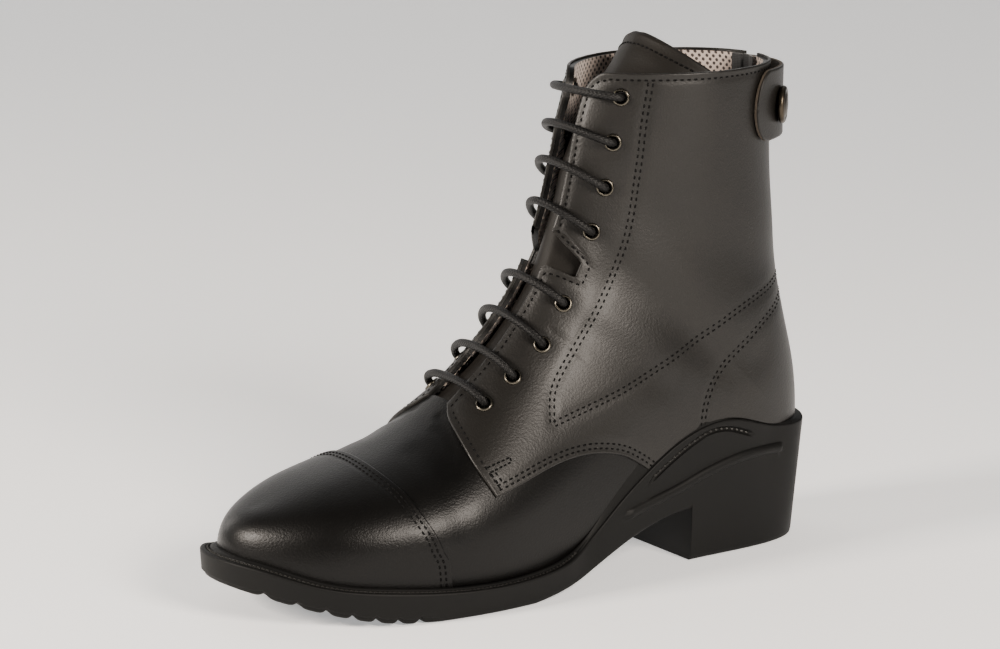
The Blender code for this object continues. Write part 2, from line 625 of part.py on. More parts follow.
def make_strap():
    """Leather strap round the back of the collar, clear of the zip, with its snap cap."""
    s, share = np.meshgrid(np.linspace(-1, 1, 19), np.linspace(-1, 1, 4), indexing="ij")
    add_shell("strap", strap_grid(s, share, STRAP_THICK), strap_grid(s, share, 0.0), LEATHER)
    here = np.array([[-0.56]])
    seat = strap_grid(here, np.array([[-0.06]]), STRAP_THICK)[0, 0]
    toward = strap_grid(here, np.array([[-0.06]]), STRAP_THICK + 1)[0, 0] - seat
    side = np.cross(toward, (0, 0, 1))
    side /= np.linalg.norm(side)
    up = np.cross(side, toward)
    angle = np.arange(16) * 2 * pi / 16
    spoke = np.cos(angle)[:, None] * side + np.sin(angle)[:, None] * up
    profile = ((SNAP_RADIUS - 0.6, 0.8), (SNAP_RADIUS, 1.4), (SNAP_RADIUS - 0.4, 2.3),
               (SNAP_RADIUS * 0.55, 3.2))
    loops = np.array([seat + r * spoke + h * toward for r, h in profile])
    add_loft("snap_cap", loops, METAL)


def back_frame(v):
    """Point and outward normal on the back line of the leg."""
    return last_point(0.0, v), last_normal(0.0, v)


def make_zip():
    """Zip behind the rear slot: tape inside the leather with the closed coil standing in the slot."""
    half_slot, half_tape = 2.6, 7.0
    tape_out = UPPER_OUT - UPPER_WALL - GAP
    tape = ((-half_tape, tape_out - 2.7), (-half_tape, tape_out - 1.8), (-half_slot, tape_out - 0.3),
            (-half_slot, -0.6), (half_slot, -0.6), (half_slot, tape_out - 0.3),
            (half_tape, tape_out - 1.8), (half_tape, tape_out - 2.7))
    loops = []
    for v in np.linspace(ZIP_V + 0.08, COLLAR_V - 0.05, 12):
        point, normal = back_frame(v)
        loops.append([point + normal * d + np.array((0, y, 0)) for y, d in tape])
    add_loft("zip", np.array(loops), TAPE)

    v = float(v_at_height(0.0, PULL_PIVOT_Z))
    x_back = float(last_point(0.0, v)[0])
    slider = []
    for y, ear in ((-3.4, -4.6), (-1.9, -4.6), (-1.9, -2.6), (1.9, -2.6), (1.9, -4.6), (3.4, -4.6)):
        outline = ((0.3, -6), (0.3, 4), (-2.6, 4), (-2.6, 2), (ear, 1.4), (ear, -1.4), (-2.6, -2), (-2.6, -6))
        slider.append([(x_back + x, y, PULL_PIVOT_Z + z) for x, z in outline])
    add_loft("zip_slider", np.array(slider), METAL)

    pivot = np.array((x_back - 3.45, 0.0, PULL_PIVOT_Z))
    near, far = x_back - 2.95, x_back - 3.95
    outline = ((-1.5, 1.2), (-1.5, -5.5), (-2.6, -8), (-2.6, -PULL_LENGTH + 1.5), (-1.6, -PULL_LENGTH),
               (1.6, -PULL_LENGTH), (2.6, -PULL_LENGTH + 1.5), (2.6, -8), (1.5, -5.5), (1.5, 1.2))
    loops = [[(x, y, PULL_PIVOT_Z + z) for y, z in outline] for x in (near, far)]
    add_loft("zip_pull", np.array(loops), METAL, pivot)


def make_heel_tab():
    """Small stay between the quarters at the back, from the sole's rim to the foot of the zip."""
    under = OVERLAY_IN - 0.1
    section = ((-3.6, under), (-3.6, 0.7), (-2.6, 1.3), (2.6, 1.3), (3.6, 0.7), (3.6, under))
    loops = []
    for z in np.linspace(54.5, 76.5, 6):
        v = float(v_at_height(0.0, z, 12.0, 15.0))
        point, normal = back_frame(v)
        loops.append([point + normal * d + np.array((0, y, 0)) for y, d in section])
    add_loft("heel_tab", np.array(loops), TAPE)


grown_skin, skin_ids, skin_rows = make_upper()
make_sole(add_envelope("cut_upper", grown_skin, skin_ids, skin_rows))
make_insole()
make_toe_cap()
make_quarter("quarter_lateral", False)
make_quarter("quarter_medial", True)
make_tongue()
make_eyelets()
make_lace()
make_strap()
make_zip()
make_heel_tab()
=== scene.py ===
# %% [markdown]
# # A left jodhpur boot in black leather
# A boot is leather pulled over a last, a form like a foot, and closed below by a sole.
# The solids of the part already have that form, so this lesson dresses them: it repeats the last
# as one smooth function and lays fine leather, thread, lace, rubber and metal on it.

# %% Load the frame
import bpy
import numpy as np
from math import pi, radians
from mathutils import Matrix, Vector


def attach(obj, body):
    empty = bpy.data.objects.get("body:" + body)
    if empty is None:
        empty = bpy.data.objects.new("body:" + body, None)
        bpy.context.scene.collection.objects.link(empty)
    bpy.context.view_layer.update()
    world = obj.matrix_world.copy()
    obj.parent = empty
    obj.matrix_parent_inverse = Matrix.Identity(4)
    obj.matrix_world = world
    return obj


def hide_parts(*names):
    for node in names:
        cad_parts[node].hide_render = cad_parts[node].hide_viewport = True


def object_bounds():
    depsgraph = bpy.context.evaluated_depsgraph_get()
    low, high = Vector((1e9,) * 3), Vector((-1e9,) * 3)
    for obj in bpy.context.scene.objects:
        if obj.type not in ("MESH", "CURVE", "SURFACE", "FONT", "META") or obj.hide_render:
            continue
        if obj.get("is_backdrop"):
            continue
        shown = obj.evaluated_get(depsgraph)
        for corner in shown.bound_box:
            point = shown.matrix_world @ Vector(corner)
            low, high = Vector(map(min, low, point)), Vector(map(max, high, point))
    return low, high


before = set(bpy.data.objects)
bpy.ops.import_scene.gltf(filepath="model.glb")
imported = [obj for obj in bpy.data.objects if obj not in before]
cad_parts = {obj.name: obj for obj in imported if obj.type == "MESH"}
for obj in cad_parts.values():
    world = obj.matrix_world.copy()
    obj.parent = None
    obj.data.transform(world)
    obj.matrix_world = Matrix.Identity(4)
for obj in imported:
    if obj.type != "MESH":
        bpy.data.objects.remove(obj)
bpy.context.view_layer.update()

MM = 0.001
print("solids in the frame:", len(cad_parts))

# %% [markdown]
# ## The last
# A lastmaker works from cross sections. Each row below is one section, from the toe to the collar:
# where it starts at the edge of the sole, where its top is, how wide it is and how full.
# A smooth curve through each column gives every section in between, so one function of two
# numbers gives any point of the boot: u goes round a section and v goes from toe to collar.

# %% Sections of the last, in millimetres
ORIGIN = np.array([134.188, 0.730, 0.0])
COLUMNS = ("foot_x", "foot_z", "foot_lateral", "foot_medial", "top_x", "top_z", "top_y",
           "lateral", "medial", "belly", "low_power", "high_power", "bow")
SECTIONS = {
    "tip": (266, 22.0, -7, -7, 254, 42, -7, -7, -7, .45, 2.2, 2.2, 5.0),
    "toe": (261, 20.5, 9, -22, 247, 45, -6.5, 10, -23, .42, 2.3, 2.2, 4.0),
    "cap": (244, 16.0, 27.5, -36, 232, 51, -6, 29.5, -38, .38, 2.4, 2.2, 1.5),
    "cap_back": (219, 12.0, 39.5, -43, 211, 57, -5, 41.5, -45, .36, 2.4, 2.1, 0),
    "ball": (190, 9.5, 45, -43.5, 187, 66, -4, 47, -45.5, .34, 2.4, 2.0, 0),
    "vamp": (160, 9.0, 45, -37.5, 168, 79, -3, 47, -41.5, .34, 2.4, 1.9, 0),
    "waist": (128, 12.5, 39.5, -29.5, 152, 94.5, -2, 42.5, -36.5, .36, 2.3, 1.85, 0),
    "arch": (95, 21.0, 33.5, -27, 140, 109, -1, 38.5, -34, .38, 2.3, 1.8, 0),
    "breast": (62, 30.0, 31.5, -28.5, 131.5, 122, 0, 36.5, -33.5, .40, 2.4, 1.8, 0),
    "seat": (35, 34.0, 30.5, -29, 126, 134, 0, 35.5, -33, .42, 2.5, 1.8, 0),
    "heel_side": (12.8, 35.0, 26, -25, 122.5, 144, 0, 35, -33, .44, 2.5, 1.8, 0),
    "heel_turn": (1.6, 35.0, 15, -14.5, 120.5, 150, 0, 35, -33, .45, 2.4, 1.8, 0),
    "heel": (-1.5, 35.0, 0, 0, 119, 155, 0, 35, -33.5, .46, 2.4, 1.8, 0),
    "counter": (-2.5, 52.0, 0, 0, 117, 162, 0, 34.5, -33.5, .47, 2.4, 1.8, 0),
    "counter_top": (-0.5, 74.0, 0, 0, 115, 169.5, 0, 34, -33.5, .48, 2.3, 1.8, 0),
    "achilles": (6, 100.0, 0, 0, 113, 177, 0, 34, -33.5, .49, 2.25, 1.75, 0),
    "ankle": (10.5, 130.0, 0, 0, 111, 185, 0, 34.5, -34, .50, 2.2, 1.75, 0),
    "shaft": (13, 160.0, 0, 0, 108.5, 192.5, 0, 35.5, -35, .50, 2.1, 1.7, 0),
    "cuff": (14, 187.0, 0, 0, 106, 199.5, 0, 36.5, -36, .50, 2.1, 1.7, 0),
    "collar": (14, 206.5, 0, 0, 104, 206, 0, 37, -36.5, .50, 2.1, 1.7, 0),
    "tongue_top": (13, 226.0, 0, 0, 101.5, 220, 0, 37.5, -37, .50, 2.1, 1.7, 0),
}
EVEN_COLUMNS = ("foot_x", "foot_z", "top_x", "top_z", "top_y", "bow")
TABLE = np.array(list(SECTIONS.values()), float)
HEEL_V, COLLAR_V, TIP_V, TIP_SHARE = 12, 19.0, 0.06, 0.94
THROAT_U, THROAT_V, ZIP_U, ZIP_V = 0.462, 4.9, 0.016, 14.2
NOTCH_U, NOTCH_V, FLARE_U = 0.409, (8.65, 9.95), 0.008
COLLAR_CORNER, COLLAR_U_MM, COLLAR_V_MM = 9.0, 270.0, 6.5
print("sections of the last:", len(SECTIONS))


# %% Curves through tables
def spline(t, y, x, flat_start=False, flat_end=False):
    """Cubic spline: in each interval a cubic, with slopes and bends that agree at the knots."""
    t, y, x = (np.asarray(a, float) for a in (t, y, x))
    n, h = len(t), np.diff(t)
    system, right = np.eye(n), np.zeros(n)
    if flat_start:
        system[0, :2] = 2 * h[0], h[0]
        right[0] = 6 * (y[1] - y[0]) / h[0]
    if flat_end:
        system[-1, -2:] = h[-1], 2 * h[-1]
        right[-1] = -6 * (y[-1] - y[-2]) / h[-1]
    for i in range(1, n - 1):
        system[i, i - 1:i + 2] = h[i - 1], 2 * (h[i - 1] + h[i]), h[i]
        right[i] = 6 * ((y[i + 1] - y[i]) / h[i] - (y[i] - y[i - 1]) / h[i - 1])
    m = np.linalg.solve(system, right)
    k = np.clip(np.searchsorted(t, x, "right") - 1, 0, n - 2)
    after, before, step = x - t[k], t[k + 1] - x, h[k]
    bend = (m[k] * before ** 3 + m[k + 1] * after ** 3) / (6 * step)
    return (bend + (y[k] / step - m[k] * step / 6) * before
            + (y[k + 1] / step - m[k + 1] * step / 6) * after)


def table_at(table, x):
    """Value of a short table of (x, y) pairs, on a smooth curve through them."""
    return spline(*zip(*table), x)


def ease(x, low, high):
    """Smooth step: 0 below low, 1 above high, with level ends."""
    t = np.clip((np.asarray(x, float) - low) / (high - low), 0, 1)
    return t * t * (3 - 2 * t)


def bell(d, width):
    """Bell curve: 1 at no distance, falling off smoothly over the width."""
    return np.exp(-(d / width) ** 2)


def unit(vectors):
    """The same directions with length one."""
    return vectors / np.linalg.norm(vectors, axis=-1, keepdims=True)


def run_of(path):
    """Running length along a path of points."""
    return np.r_[0, np.cumsum(np.linalg.norm(np.diff(path, axis=0), axis=1))]


def points_at(path, at):
    """Points of a path at given running lengths."""
    return np.stack([np.interp(at, run_of(path), path[:, k]) for k in range(3)], -1)


def runs(*spans):
    """Even steps over several spans of (start, end, count), one after the other."""
    return np.concatenate([np.linspace(*span) for span in spans])


# %% The last as a function
def sections_at(v):
    """Every column of the table at position v; the edge of the sole and the back line are two curves."""
    v = np.asarray(v, float)
    rows, out = np.arange(len(TABLE)), {}
    for name, column in zip(COLUMNS, TABLE.T):
        even = name in EVEN_COLUMNS
        if name.startswith("foot"):
            part = slice(0, HEEL_V + 1)
            edge = spline(rows[part], column[part], np.minimum(v, HEEL_V), even, even)
            back = spline(rows[HEEL_V:], column[HEEL_V:], np.maximum(v, HEEL_V))
            out[name] = np.where(v < HEEL_V, edge, back)
        else:
            out[name] = spline(rows, column, v, even)
    return out


def last_point(u, v):
    """Point of the last: two superellipse arcs on each side, laid along the chord from sole to top."""
    u, v = np.broadcast_arrays(np.asarray(u, float), np.asarray(v, float))
    c = sections_at(v)
    outer = u <= 0.5
    w = np.where(outer, u, 1 - u) * 4
    y_foot = np.where(outer, c["foot_lateral"], c["foot_medial"])
    y_wide = np.where(outer, c["lateral"], c["medial"])
    low, high = 2 / c["low_power"], 2 / c["high_power"]
    span = y_wide - c["top_y"]
    point = np.abs(span) < 1e-3
    share = np.where(point, TIP_SHARE, (y_foot - c["top_y"]) / np.where(point, 1, span))
    start = np.arcsin(np.clip(share, 0, 0.985) ** (1 / low))
    a = start + (pi / 2 - start) * np.clip(w, 0, 1)
    b = np.clip(w - 1, 0, 1) * pi / 2
    y_low = c["top_y"] + span * np.sin(a) ** low
    s_low = c["belly"] * (1 - (np.maximum(np.cos(a), 0) / np.cos(start)) ** low)
    y_high = c["top_y"] + span * np.maximum(np.cos(b), 0) ** high
    s_high = c["belly"] + (1 - c["belly"]) * np.sin(b) ** high
    y, s = np.where(w <= 1, y_low, y_high), np.where(w <= 1, s_low, s_high)
    dx, dz = c["top_x"] - c["foot_x"], c["top_z"] - c["foot_z"]
    bow = c["bow"] * 4 * s * (1 - s) / np.hypot(dx, dz)
    return np.stack([c["foot_x"] + dx * s + bow * dz, y, c["foot_z"] + dz * s - bow * dx], -1)


def last_normal(u, v):
    """Outward normal: the cross product of a small step along the fan and one round the section."""
    u, v = np.broadcast_arrays(np.asarray(u, float), np.asarray(v, float))
    v = np.maximum(v, TIP_V)
    du, dv = 1e-3, 1e-2
    around = last_point(np.minimum(u + du, 1), v) - last_point(np.maximum(u - du, 0), v)
    along = last_point(u, v + dv) - last_point(u, np.maximum(v - dv, 0))
    return unit(np.cross(along, around))


print("collar front:", np.round(last_point(0.5, 19.0), 1), "heel:", np.round(last_point(0.0, 12.0), 1))

# %% [markdown]
# ## Soft folds
# Leather that has stood on a shelf is not a perfect shell: it sinks behind the ankle, pulls at the
# front of the quarters and dips round each eyelet. Sculpting could add this, but a table of soft
# troughs, each from one place on the boot to another, is easy to read and to change.

# %% Troughs and ridges of the leather
FOLDS = {
    "ankle_high": ((.375, 10.9), (.215, 12.6), 9.0, 0.75),
    "ankle": ((.375, 9.5), (.24, 10.6), 9.0, 0.9),
    "instep": ((.36, 8.1), (.27, 8.6), 8.0, 0.5),
    "shaft": ((.335, 14.4), (.11, 15.5), 13.0, 0.55),
    "eyelet_pull": ((.355, 7.55), (.402, 7.40), 1.8, 0.18),
    "vamp_pull_low": ((.395, 4.30), (.465, 4.56), 2.2, 0.40),
    "vamp_pull_high": ((.375, 4.14), (.45, 4.33), 2.4, 0.30),
    "vamp_flex": ((.27, 4.02), (.44, 3.80), 6.0, 0.30),
}
EYELETS = ((.398, 17.79), (.396, 15.95), (.401, 14.05), (.410, 11.61),
           (.408, 8.14), (.403, 7.02), (.411, 6.07), (.420, 5.31))


def nearest(points, samples, chunk=4000):
    """Distance from each point to the nearest sample, worked out in blocks of points."""
    flat = points.reshape(-1, 3)
    out = np.empty(len(flat))
    for i in range(0, len(flat), chunk):
        block = flat[i:i + chunk]
        square = ((block ** 2).sum(1)[:, None] + (samples ** 2).sum(1) - 2 * block @ samples.T)
        out[i:i + chunk] = np.sqrt(np.maximum(square.min(1), 0))
    return out.reshape(points.shape[:-1])


def folds(base):
    """Height of the soft folds: a trough is a bell curve across its line, with a low ridge beside it."""
    t = np.linspace(0, 1, 30)[:, None]
    total = np.zeros(base.shape[:-1])
    for start, end, width, depth in FOLDS.values():
        line = np.array(start) * (1 - t) + np.array(end) * t
        for side in (line[:, 0], 1 - line[:, 0]):
            q = (nearest(base, last_point(side, line[:, 1])) / width) ** 2
            total += depth * (0.25 * q * np.exp(-q / 2) - np.exp(-q))
    for u, v in EYELETS:
        for side in (u, 1 - u):
            d = np.linalg.norm(base - last_point(side, v), axis=-1)
            total -= 0.45 * bell(d, 5.5)
    return total


def skin(u, v, out=0.0, plain=False):
    """Point of the boot: the last, moved along its normal by out and by the folds."""
    base = last_point(u, v)
    height = np.asarray(out, float) + (0 if plain else folds(base))
    return base + height[..., None] * last_normal(u, v)


print("fold depth behind the ankle: %.2f mm" % folds(last_point(np.array([.30]), np.array([10.05])))[0])

# %% [markdown]
# ## Meshes from grids
# A leather panel is a wall: two nearly parallel surfaces and an edge all round. Blender's Solidify
# could thicken a sheet, but its edge is square. Here the edge is rolled in the grid itself,
# so the light catches it as it does on a cut and folded leather edge.


# %% Mesh helpers
def into_scene(name, data):
    """New object in the scene."""
    obj = bpy.data.objects.new(name, data)
    bpy.context.scene.collection.objects.link(obj)
    return obj


def add_mesh(name, points, faces, mats, slots=None, uv=None, body="root", smooth=40):
    """Object at the origin from millimetre points; the sign of the volume turns its faces outwards."""
    points = (np.asarray(points, float) - ORIGIN) * MM
    lists = [np.asarray(f, np.int64) for f in faces]
    volume = 0.0
    for f in lists:
        for k in range(1, f.shape[1] - 1):
            a, b, c = points[f[:, 0]], points[f[:, k]], points[f[:, k + 1]]
            volume += np.einsum("ij,ij->", a, np.cross(b, c))
    if volume < 0:
        lists = [f[:, ::-1] for f in lists]
    mesh = bpy.data.meshes.new(name)
    mesh.from_pydata(points.tolist(), [], [row for f in lists for row in f.tolist()])
    for mat in mats:
        mesh.materials.append(mat)
    if slots is not None:
        mesh.polygons.foreach_set("material_index", np.asarray(slots, np.int32))
    mesh.polygons.foreach_set("use_smooth", np.ones(len(mesh.polygons), bool))
    if uv is not None:
        corner = np.empty(len(mesh.loops), np.int32)
        mesh.loops.foreach_get("vertex_index", corner)
        layer = mesh.uv_layers.new(name="surface_mm")
        layer.data.foreach_set("uv", np.asarray(uv, float)[corner].ravel())
    mesh.set_sharp_from_angle(angle=radians(smooth))
    mesh.update()
    obj = into_scene(name, mesh)
    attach(obj, body)
    print(name, len(mesh.polygons), "faces")
    return obj


def grid_quads(ids, keep=None):
    """Quads of a grid of point numbers."""
    quads = np.stack([ids[:-1, :-1], ids[1:, :-1], ids[1:, 1:], ids[:-1, 1:]], -1)
    return quads[keep] if keep is not None else quads.reshape(-1, 4)


def border(quads):
    """Edges that only one quad uses, in that quad's direction."""
    a, b = quads.ravel(), np.roll(quads, -1, axis=1).ravel()
    size = quads.max() + 1
    alone = ~np.isin(a * size + b, b * size + a)
    return a[alone], b[alone]


def split_quads(quads):
    """Quads, and triangles from the quads that have two neighbouring corners in one place."""
    same = quads == np.roll(quads, 1, axis=1)
    closed = same.sum(1) == 1
    thirds = quads[closed][~same[closed]].reshape(-1, 3)
    return [f for f in (quads[~same.any(1)], thirds) if len(f)]


def wall(name, outer, inner, mats, keep=None, ids=None, uv=None, inner_slot=0, rim_slot=0, **more):
    """Closed wall between two grids: outer faces, inner faces turned round, a strip along each border."""
    rows, cols = outer.shape[:2]
    count = rows * cols
    ids = np.arange(count).reshape(rows, cols) if ids is None else ids
    top = grid_quads(ids, keep)
    a, b = border(top)
    under = top[:, ::-1] + count
    rim = np.stack([b, a, a + count, b + count], -1)
    points = np.concatenate([outer.reshape(-1, 3), inner.reshape(-1, 3)])
    used, faces = np.unique(np.concatenate([top, under, rim]), return_inverse=True)
    parts = np.split(faces.reshape(-1, 4), [len(top), len(top) + len(under)])
    lists, slots = [], []
    for part, slot in zip(parts, (0, inner_slot, rim_slot)):
        lists += split_quads(part)
        slots += [slot] * sum(len(f) for f in split_quads(part))
    if uv is not None:
        uv = np.tile(uv.reshape(-1, 2), (2, 1))[used]
    return add_mesh(name, points[used], lists, mats, slots, uv, **more)


def arc_lengths(grid, axis):
    """Running length along the rows or columns of a grid of points."""
    step = np.linalg.norm(np.diff(grid, axis=axis), axis=-1)
    return np.concatenate([np.zeros_like(np.take(step, [0], axis)), np.cumsum(step, axis)], axis)


def arc_edge(grid):
    """Distance of every grid point from the nearer ends of its row and column, along the grid lines."""
    rows, cols = arc_lengths(grid, 0), arc_lengths(grid, 1)
    return np.minimum(np.minimum(rows, rows[-1:] - rows), np.minimum(cols, cols[:, -1:] - cols))


def held_columns(columns, low, high, fine=(0.0, 0.0004, 0.001, 0.0019, 0.003)):
    """Columns at fixed places, held between two edges: near an edge they close up and never cross."""
    step = np.r_[fine, fine[-1] + 8e-5 * np.arange(1, len(columns) - len(fine) + 1)]
    return np.minimum(np.maximum(columns[None], low + step), high - step[::-1])


def edge_distance(grid, spacing=0.2):
    """Distance of every grid point from the outline of the grid."""
    line = np.concatenate([grid[0], grid[1:, -1], grid[-1, -2::-1], grid[-2::-1, 0]])
    return nearest(grid, points_at(line, np.arange(0, run_of(line)[-1], spacing)))


def evenly(path, pitch):
    """Places along a path of points, one pitch apart, with their directions."""
    length = run_of(path)[-1]
    count = max(int(length / pitch), 1)
    at = (np.arange(count) + 0.5) * length / count
    return points_at(path, at), unit(points_at(path, at + 0.4) - points_at(path, at - 0.4))


def row_path(u, v, shift, out=0.0, plain=False):
    """Line on the boot along a row of coordinates, moved sideways by shift, with its normals."""
    normal = last_normal(u, v)
    path = skin(u, v, np.full(np.shape(u), out), plain)
    side = np.cross(normal, np.gradient(path, axis=0))
    return path + shift * unit(side), normal


def rolled(d, radius):
    """Drop of a rolled edge at distance d from it: a quarter circle of that radius."""
    return radius - np.sqrt(np.maximum(radius ** 2 - np.maximum(radius - d, 0) ** 2, 0))


def tube(path, radius, sides):
    """Points and faces of a round cord: a circle carried along a path on frames that do not twist."""
    tangent = unit(np.gradient(path, axis=0))
    side = np.empty_like(path)
    s = np.cross(tangent[0], (0.31, 0.17, 0.93))
    for i, t in enumerate(tangent):
        s = unit(s - t * (s @ t))
        side[i] = s
    up = np.cross(tangent, side)
    angle = np.arange(sides) * 2 * pi / sides
    ring = np.cos(angle)[None, :, None] * side[:, None] + np.sin(angle)[None, :, None] * up[:, None]
    points = path[:, None] + radius * ring
    ids = np.arange(len(path) * sides).reshape(len(path), sides)
    quads = grid_quads(np.c_[ids, ids[:, :1]])
    caps = np.stack([ids[0], ids[-1][::-1]])
    uv = np.stack(np.broadcast_arrays(run_of(path)[:, None], angle[None] / (2 * pi)), -1)
    return points.reshape(-1, 3), [quads, caps], uv.reshape(-1, 2)


print("mesh helpers ready")

# %% [markdown]
# ## Materials
# Each finish starts from the real one: chrome-tanned calf with a pigmented black face, a knitted
# lining with punched holes, injection-moulded rubber, waxed cotton cord, bonded nylon thread and
# nickel-plated brass. Patterns are sized in millimetres on the boot's own coordinates.


# %% Colour and node helpers
def linear(hex_colour):
    """Linear colour of an sRGB hex value."""
    rgb = np.array([int(hex_colour[i:i + 2], 16) for i in (1, 3, 5)]) / 255
    return (*np.where(rgb <= 0.04045, rgb / 12.92, ((rgb + 0.055) / 1.055) ** 2.4), 1.0)


def node(mat, kind, inputs=(), **settings):
    """Add one node: settings are its properties, inputs maps sockets to values or to other sockets."""
    n = mat.node_tree.nodes.new(kind)
    for key, value in settings.items():
        setattr(n, key, value)
    for key, value in dict(inputs).items():
        if isinstance(value, bpy.types.NodeSocket):
            mat.node_tree.links.new(value, n.inputs[key])
        else:
            n.inputs[key].default_value = value
    return n


def new_material(name, **sockets):
    """Principled material with constants set on its own sockets; names use _ for spaces."""
    mat = bpy.data.materials.new(name)
    mat.use_nodes = True
    shader = mat.node_tree.nodes["Principled BSDF"]
    for key, value in sockets.items():
        shader.inputs[key.replace("_", " ")].default_value = value
    return mat, shader


def finish_with(mat, shader, colour=None, roughness=None, height=None, strength=0.3, depth=0.0002):
    """Link a colour, a roughness and a bump of real depth in metres to the shader."""
    links = mat.node_tree.links
    if colour is not None:
        links.new(colour, shader.inputs["Base Color"])
    if roughness is not None:
        links.new(roughness, shader.inputs["Roughness"])
    if height is not None:
        bump = node(mat, "ShaderNodeBump", {"Height": height, "Strength": strength, "Distance": depth})
        links.new(bump.outputs["Normal"], shader.inputs["Normal"])
    return mat


def blend(mat, factor, a, b):
    """Colour mix of two hex colours or sockets."""
    a, b = (linear(c) if isinstance(c, str) else c for c in (a, b))
    return node(mat, "ShaderNodeMix", {0: factor, 6: a, 7: b}, data_type="RGBA").outputs[2]


def spread(mat, value, low, high):
    """Map a 0 to 1 value to a range."""
    return node(mat, "ShaderNodeMapRange", {"Value": value, "To Min": low, "To Max": high}).outputs[0]


def coords(mat, kind):
    """Coordinates for a pattern: Object is metres on the boot, UV is the map of the mesh."""
    return node(mat, "ShaderNodeTexCoord").outputs[kind]


def noise(mat, at, size_mm, detail):
    """Cloudy noise on metre coordinates, with clouds of a size in millimetres."""
    inputs = {"Vector": at, "Scale": 1 / (size_mm * MM), "Detail": detail}
    return node(mat, "ShaderNodeTexNoise", inputs).outputs[0]


def combine(mat, operation, a, b):
    """One arithmetic step on two values."""
    return node(mat, "ShaderNodeMath", {0: a, 1: b}, operation=operation).outputs[0]


# %% Calf leather, chrome tanned, pigmented black
def calf(name, dark, light, rough, coat, grain_mm=0.9, grain_depth=0.00016, strength=0.32, gloss=0.34):
    """Grain is cells of the follicle pattern with fine pores; it breaks the gloss into a satin sparkle."""
    mat, shader = new_material(name, IOR=1.5, Coat_Weight=coat, Coat_Roughness=0.22,
                               Specular_IOR_Level=gloss)
    at = coords(mat, "Object")
    cells = node(mat, "ShaderNodeTexVoronoi", {"Vector": at, "Scale": 1 / (grain_mm * MM)},
                 feature="SMOOTH_F1").outputs["Distance"]
    pores, tone = noise(mat, at, 0.45, 3.0), noise(mat, at, 38, 4.0)
    height = combine(mat, "ADD", cells, pores)
    patch = spread(mat, combine(mat, "MULTIPLY", tone, pores), rough - 0.06, rough + 0.14)
    return finish_with(mat, shader, blend(mat, tone, dark, light), patch, height, strength, grain_depth)


# Satin gives the shaft its even grey sheen, the polished toe two clear highlights.
SHAFT_LEATHER = calf("calf_leather_satin", "#0b0a09", "#171512", rough=0.44, coat=0.02,
                     grain_depth=0.00018, strength=0.38, gloss=0.33)
TOE_LEATHER = calf("calf_leather_polished", "#040404", "#0a0908", rough=0.36, coat=0.03, grain_mm=0.8,
                   grain_depth=0.00017, strength=0.38, gloss=0.19)
# The tongue is duller, and its black is a little lighter as a painted sheen for its lit head; the cut edge
# of the strap is brown and fibrous.
TONGUE_LEATHER = calf("calf_leather_tongue", "#100f0d", "#1e1b18", rough=0.54, coat=0.0, gloss=0.15)
RAW_EDGE = calf("calf_leather_raw_edge", "#2a251f", "#5b5146", rough=0.80, coat=0.0, grain_mm=0.5,
                grain_depth=0.0003, strength=0.6)


# %% Knitted lining with punched holes
def punched_lining(name, pale, hole, pitch_mm):
    """Round holes on a diamond lattice in a pale, fuzzy knit, dark from the backing behind them and from
    painted shade in each hole; the surface map is in millimetres.
    """
    mat, shader = new_material(name, Roughness=0.9, Sheen_Weight=0.25, Sheen_Roughness=0.6)
    uv = coords(mat, "UV")
    turned = node(mat, "ShaderNodeMapping", {"Vector": uv, "Rotation": (0, 0, pi / 4)}).outputs[0]
    dots = node(mat, "ShaderNodeTexVoronoi", {"Vector": turned, "Scale": 1 / pitch_mm, "Randomness": 0.12},
                voronoi_dimensions="2D").outputs["Distance"]
    edge = node(mat, "ShaderNodeMapRange", {"Value": dots, "From Min": 0.26, "From Max": 0.36}).outputs[0]
    fuzz = node(mat, "ShaderNodeTexNoise", {"Vector": uv, "Scale": 1.6, "Detail": 4.0}).outputs[0]
    cloth = blend(mat, fuzz, pale, "#8f8078")
    # The holes take the dark colour: the backing behind them and painted shade inside each hole.
    return finish_with(mat, shader, blend(mat, edge, hole, cloth), None, edge, 0.6, 0.0004)


LINING = punched_lining("punched_knit_lining", "#c9bab0", "#2a211d", 2.3)


# %% Moulded rubber
def rubber(name, dark, light, rough):
    """Injection-moulded rubber: matt, with the fine eroded skin of its mould and faint flow streaks."""
    mat, shader = new_material(name, IOR=1.5, Specular_IOR_Level=0.16)
    at = coords(mat, "Object")
    skin_grain, streak = noise(mat, at, 0.5, 4.0), noise(mat, at, 22, 3.0)
    return finish_with(mat, shader, blend(mat, streak, dark, light),
                       spread(mat, streak, rough - 0.08, rough + 0.08), skin_grain, 0.22, 0.00012)


SOLE_RUBBER = rubber("moulded_rubber", "#070707", "#0f0f0e", 0.56)


# %% Plated brass, lace, thread, tape and footbed
def plated(name, dark, light, rough):
    """Nickel-plated brass, barrel tumbled: a grey metal with soft scratches and darker low spots."""
    mat, shader = new_material(name, Metallic=1.0)
    wear = noise(mat, coords(mat, "Object"), 1.6, 5.0)
    return finish_with(mat, shader, blend(mat, wear, dark, light),
                       spread(mat, wear, rough - 0.08, rough + 0.12), wear, 0.08, 0.00005)


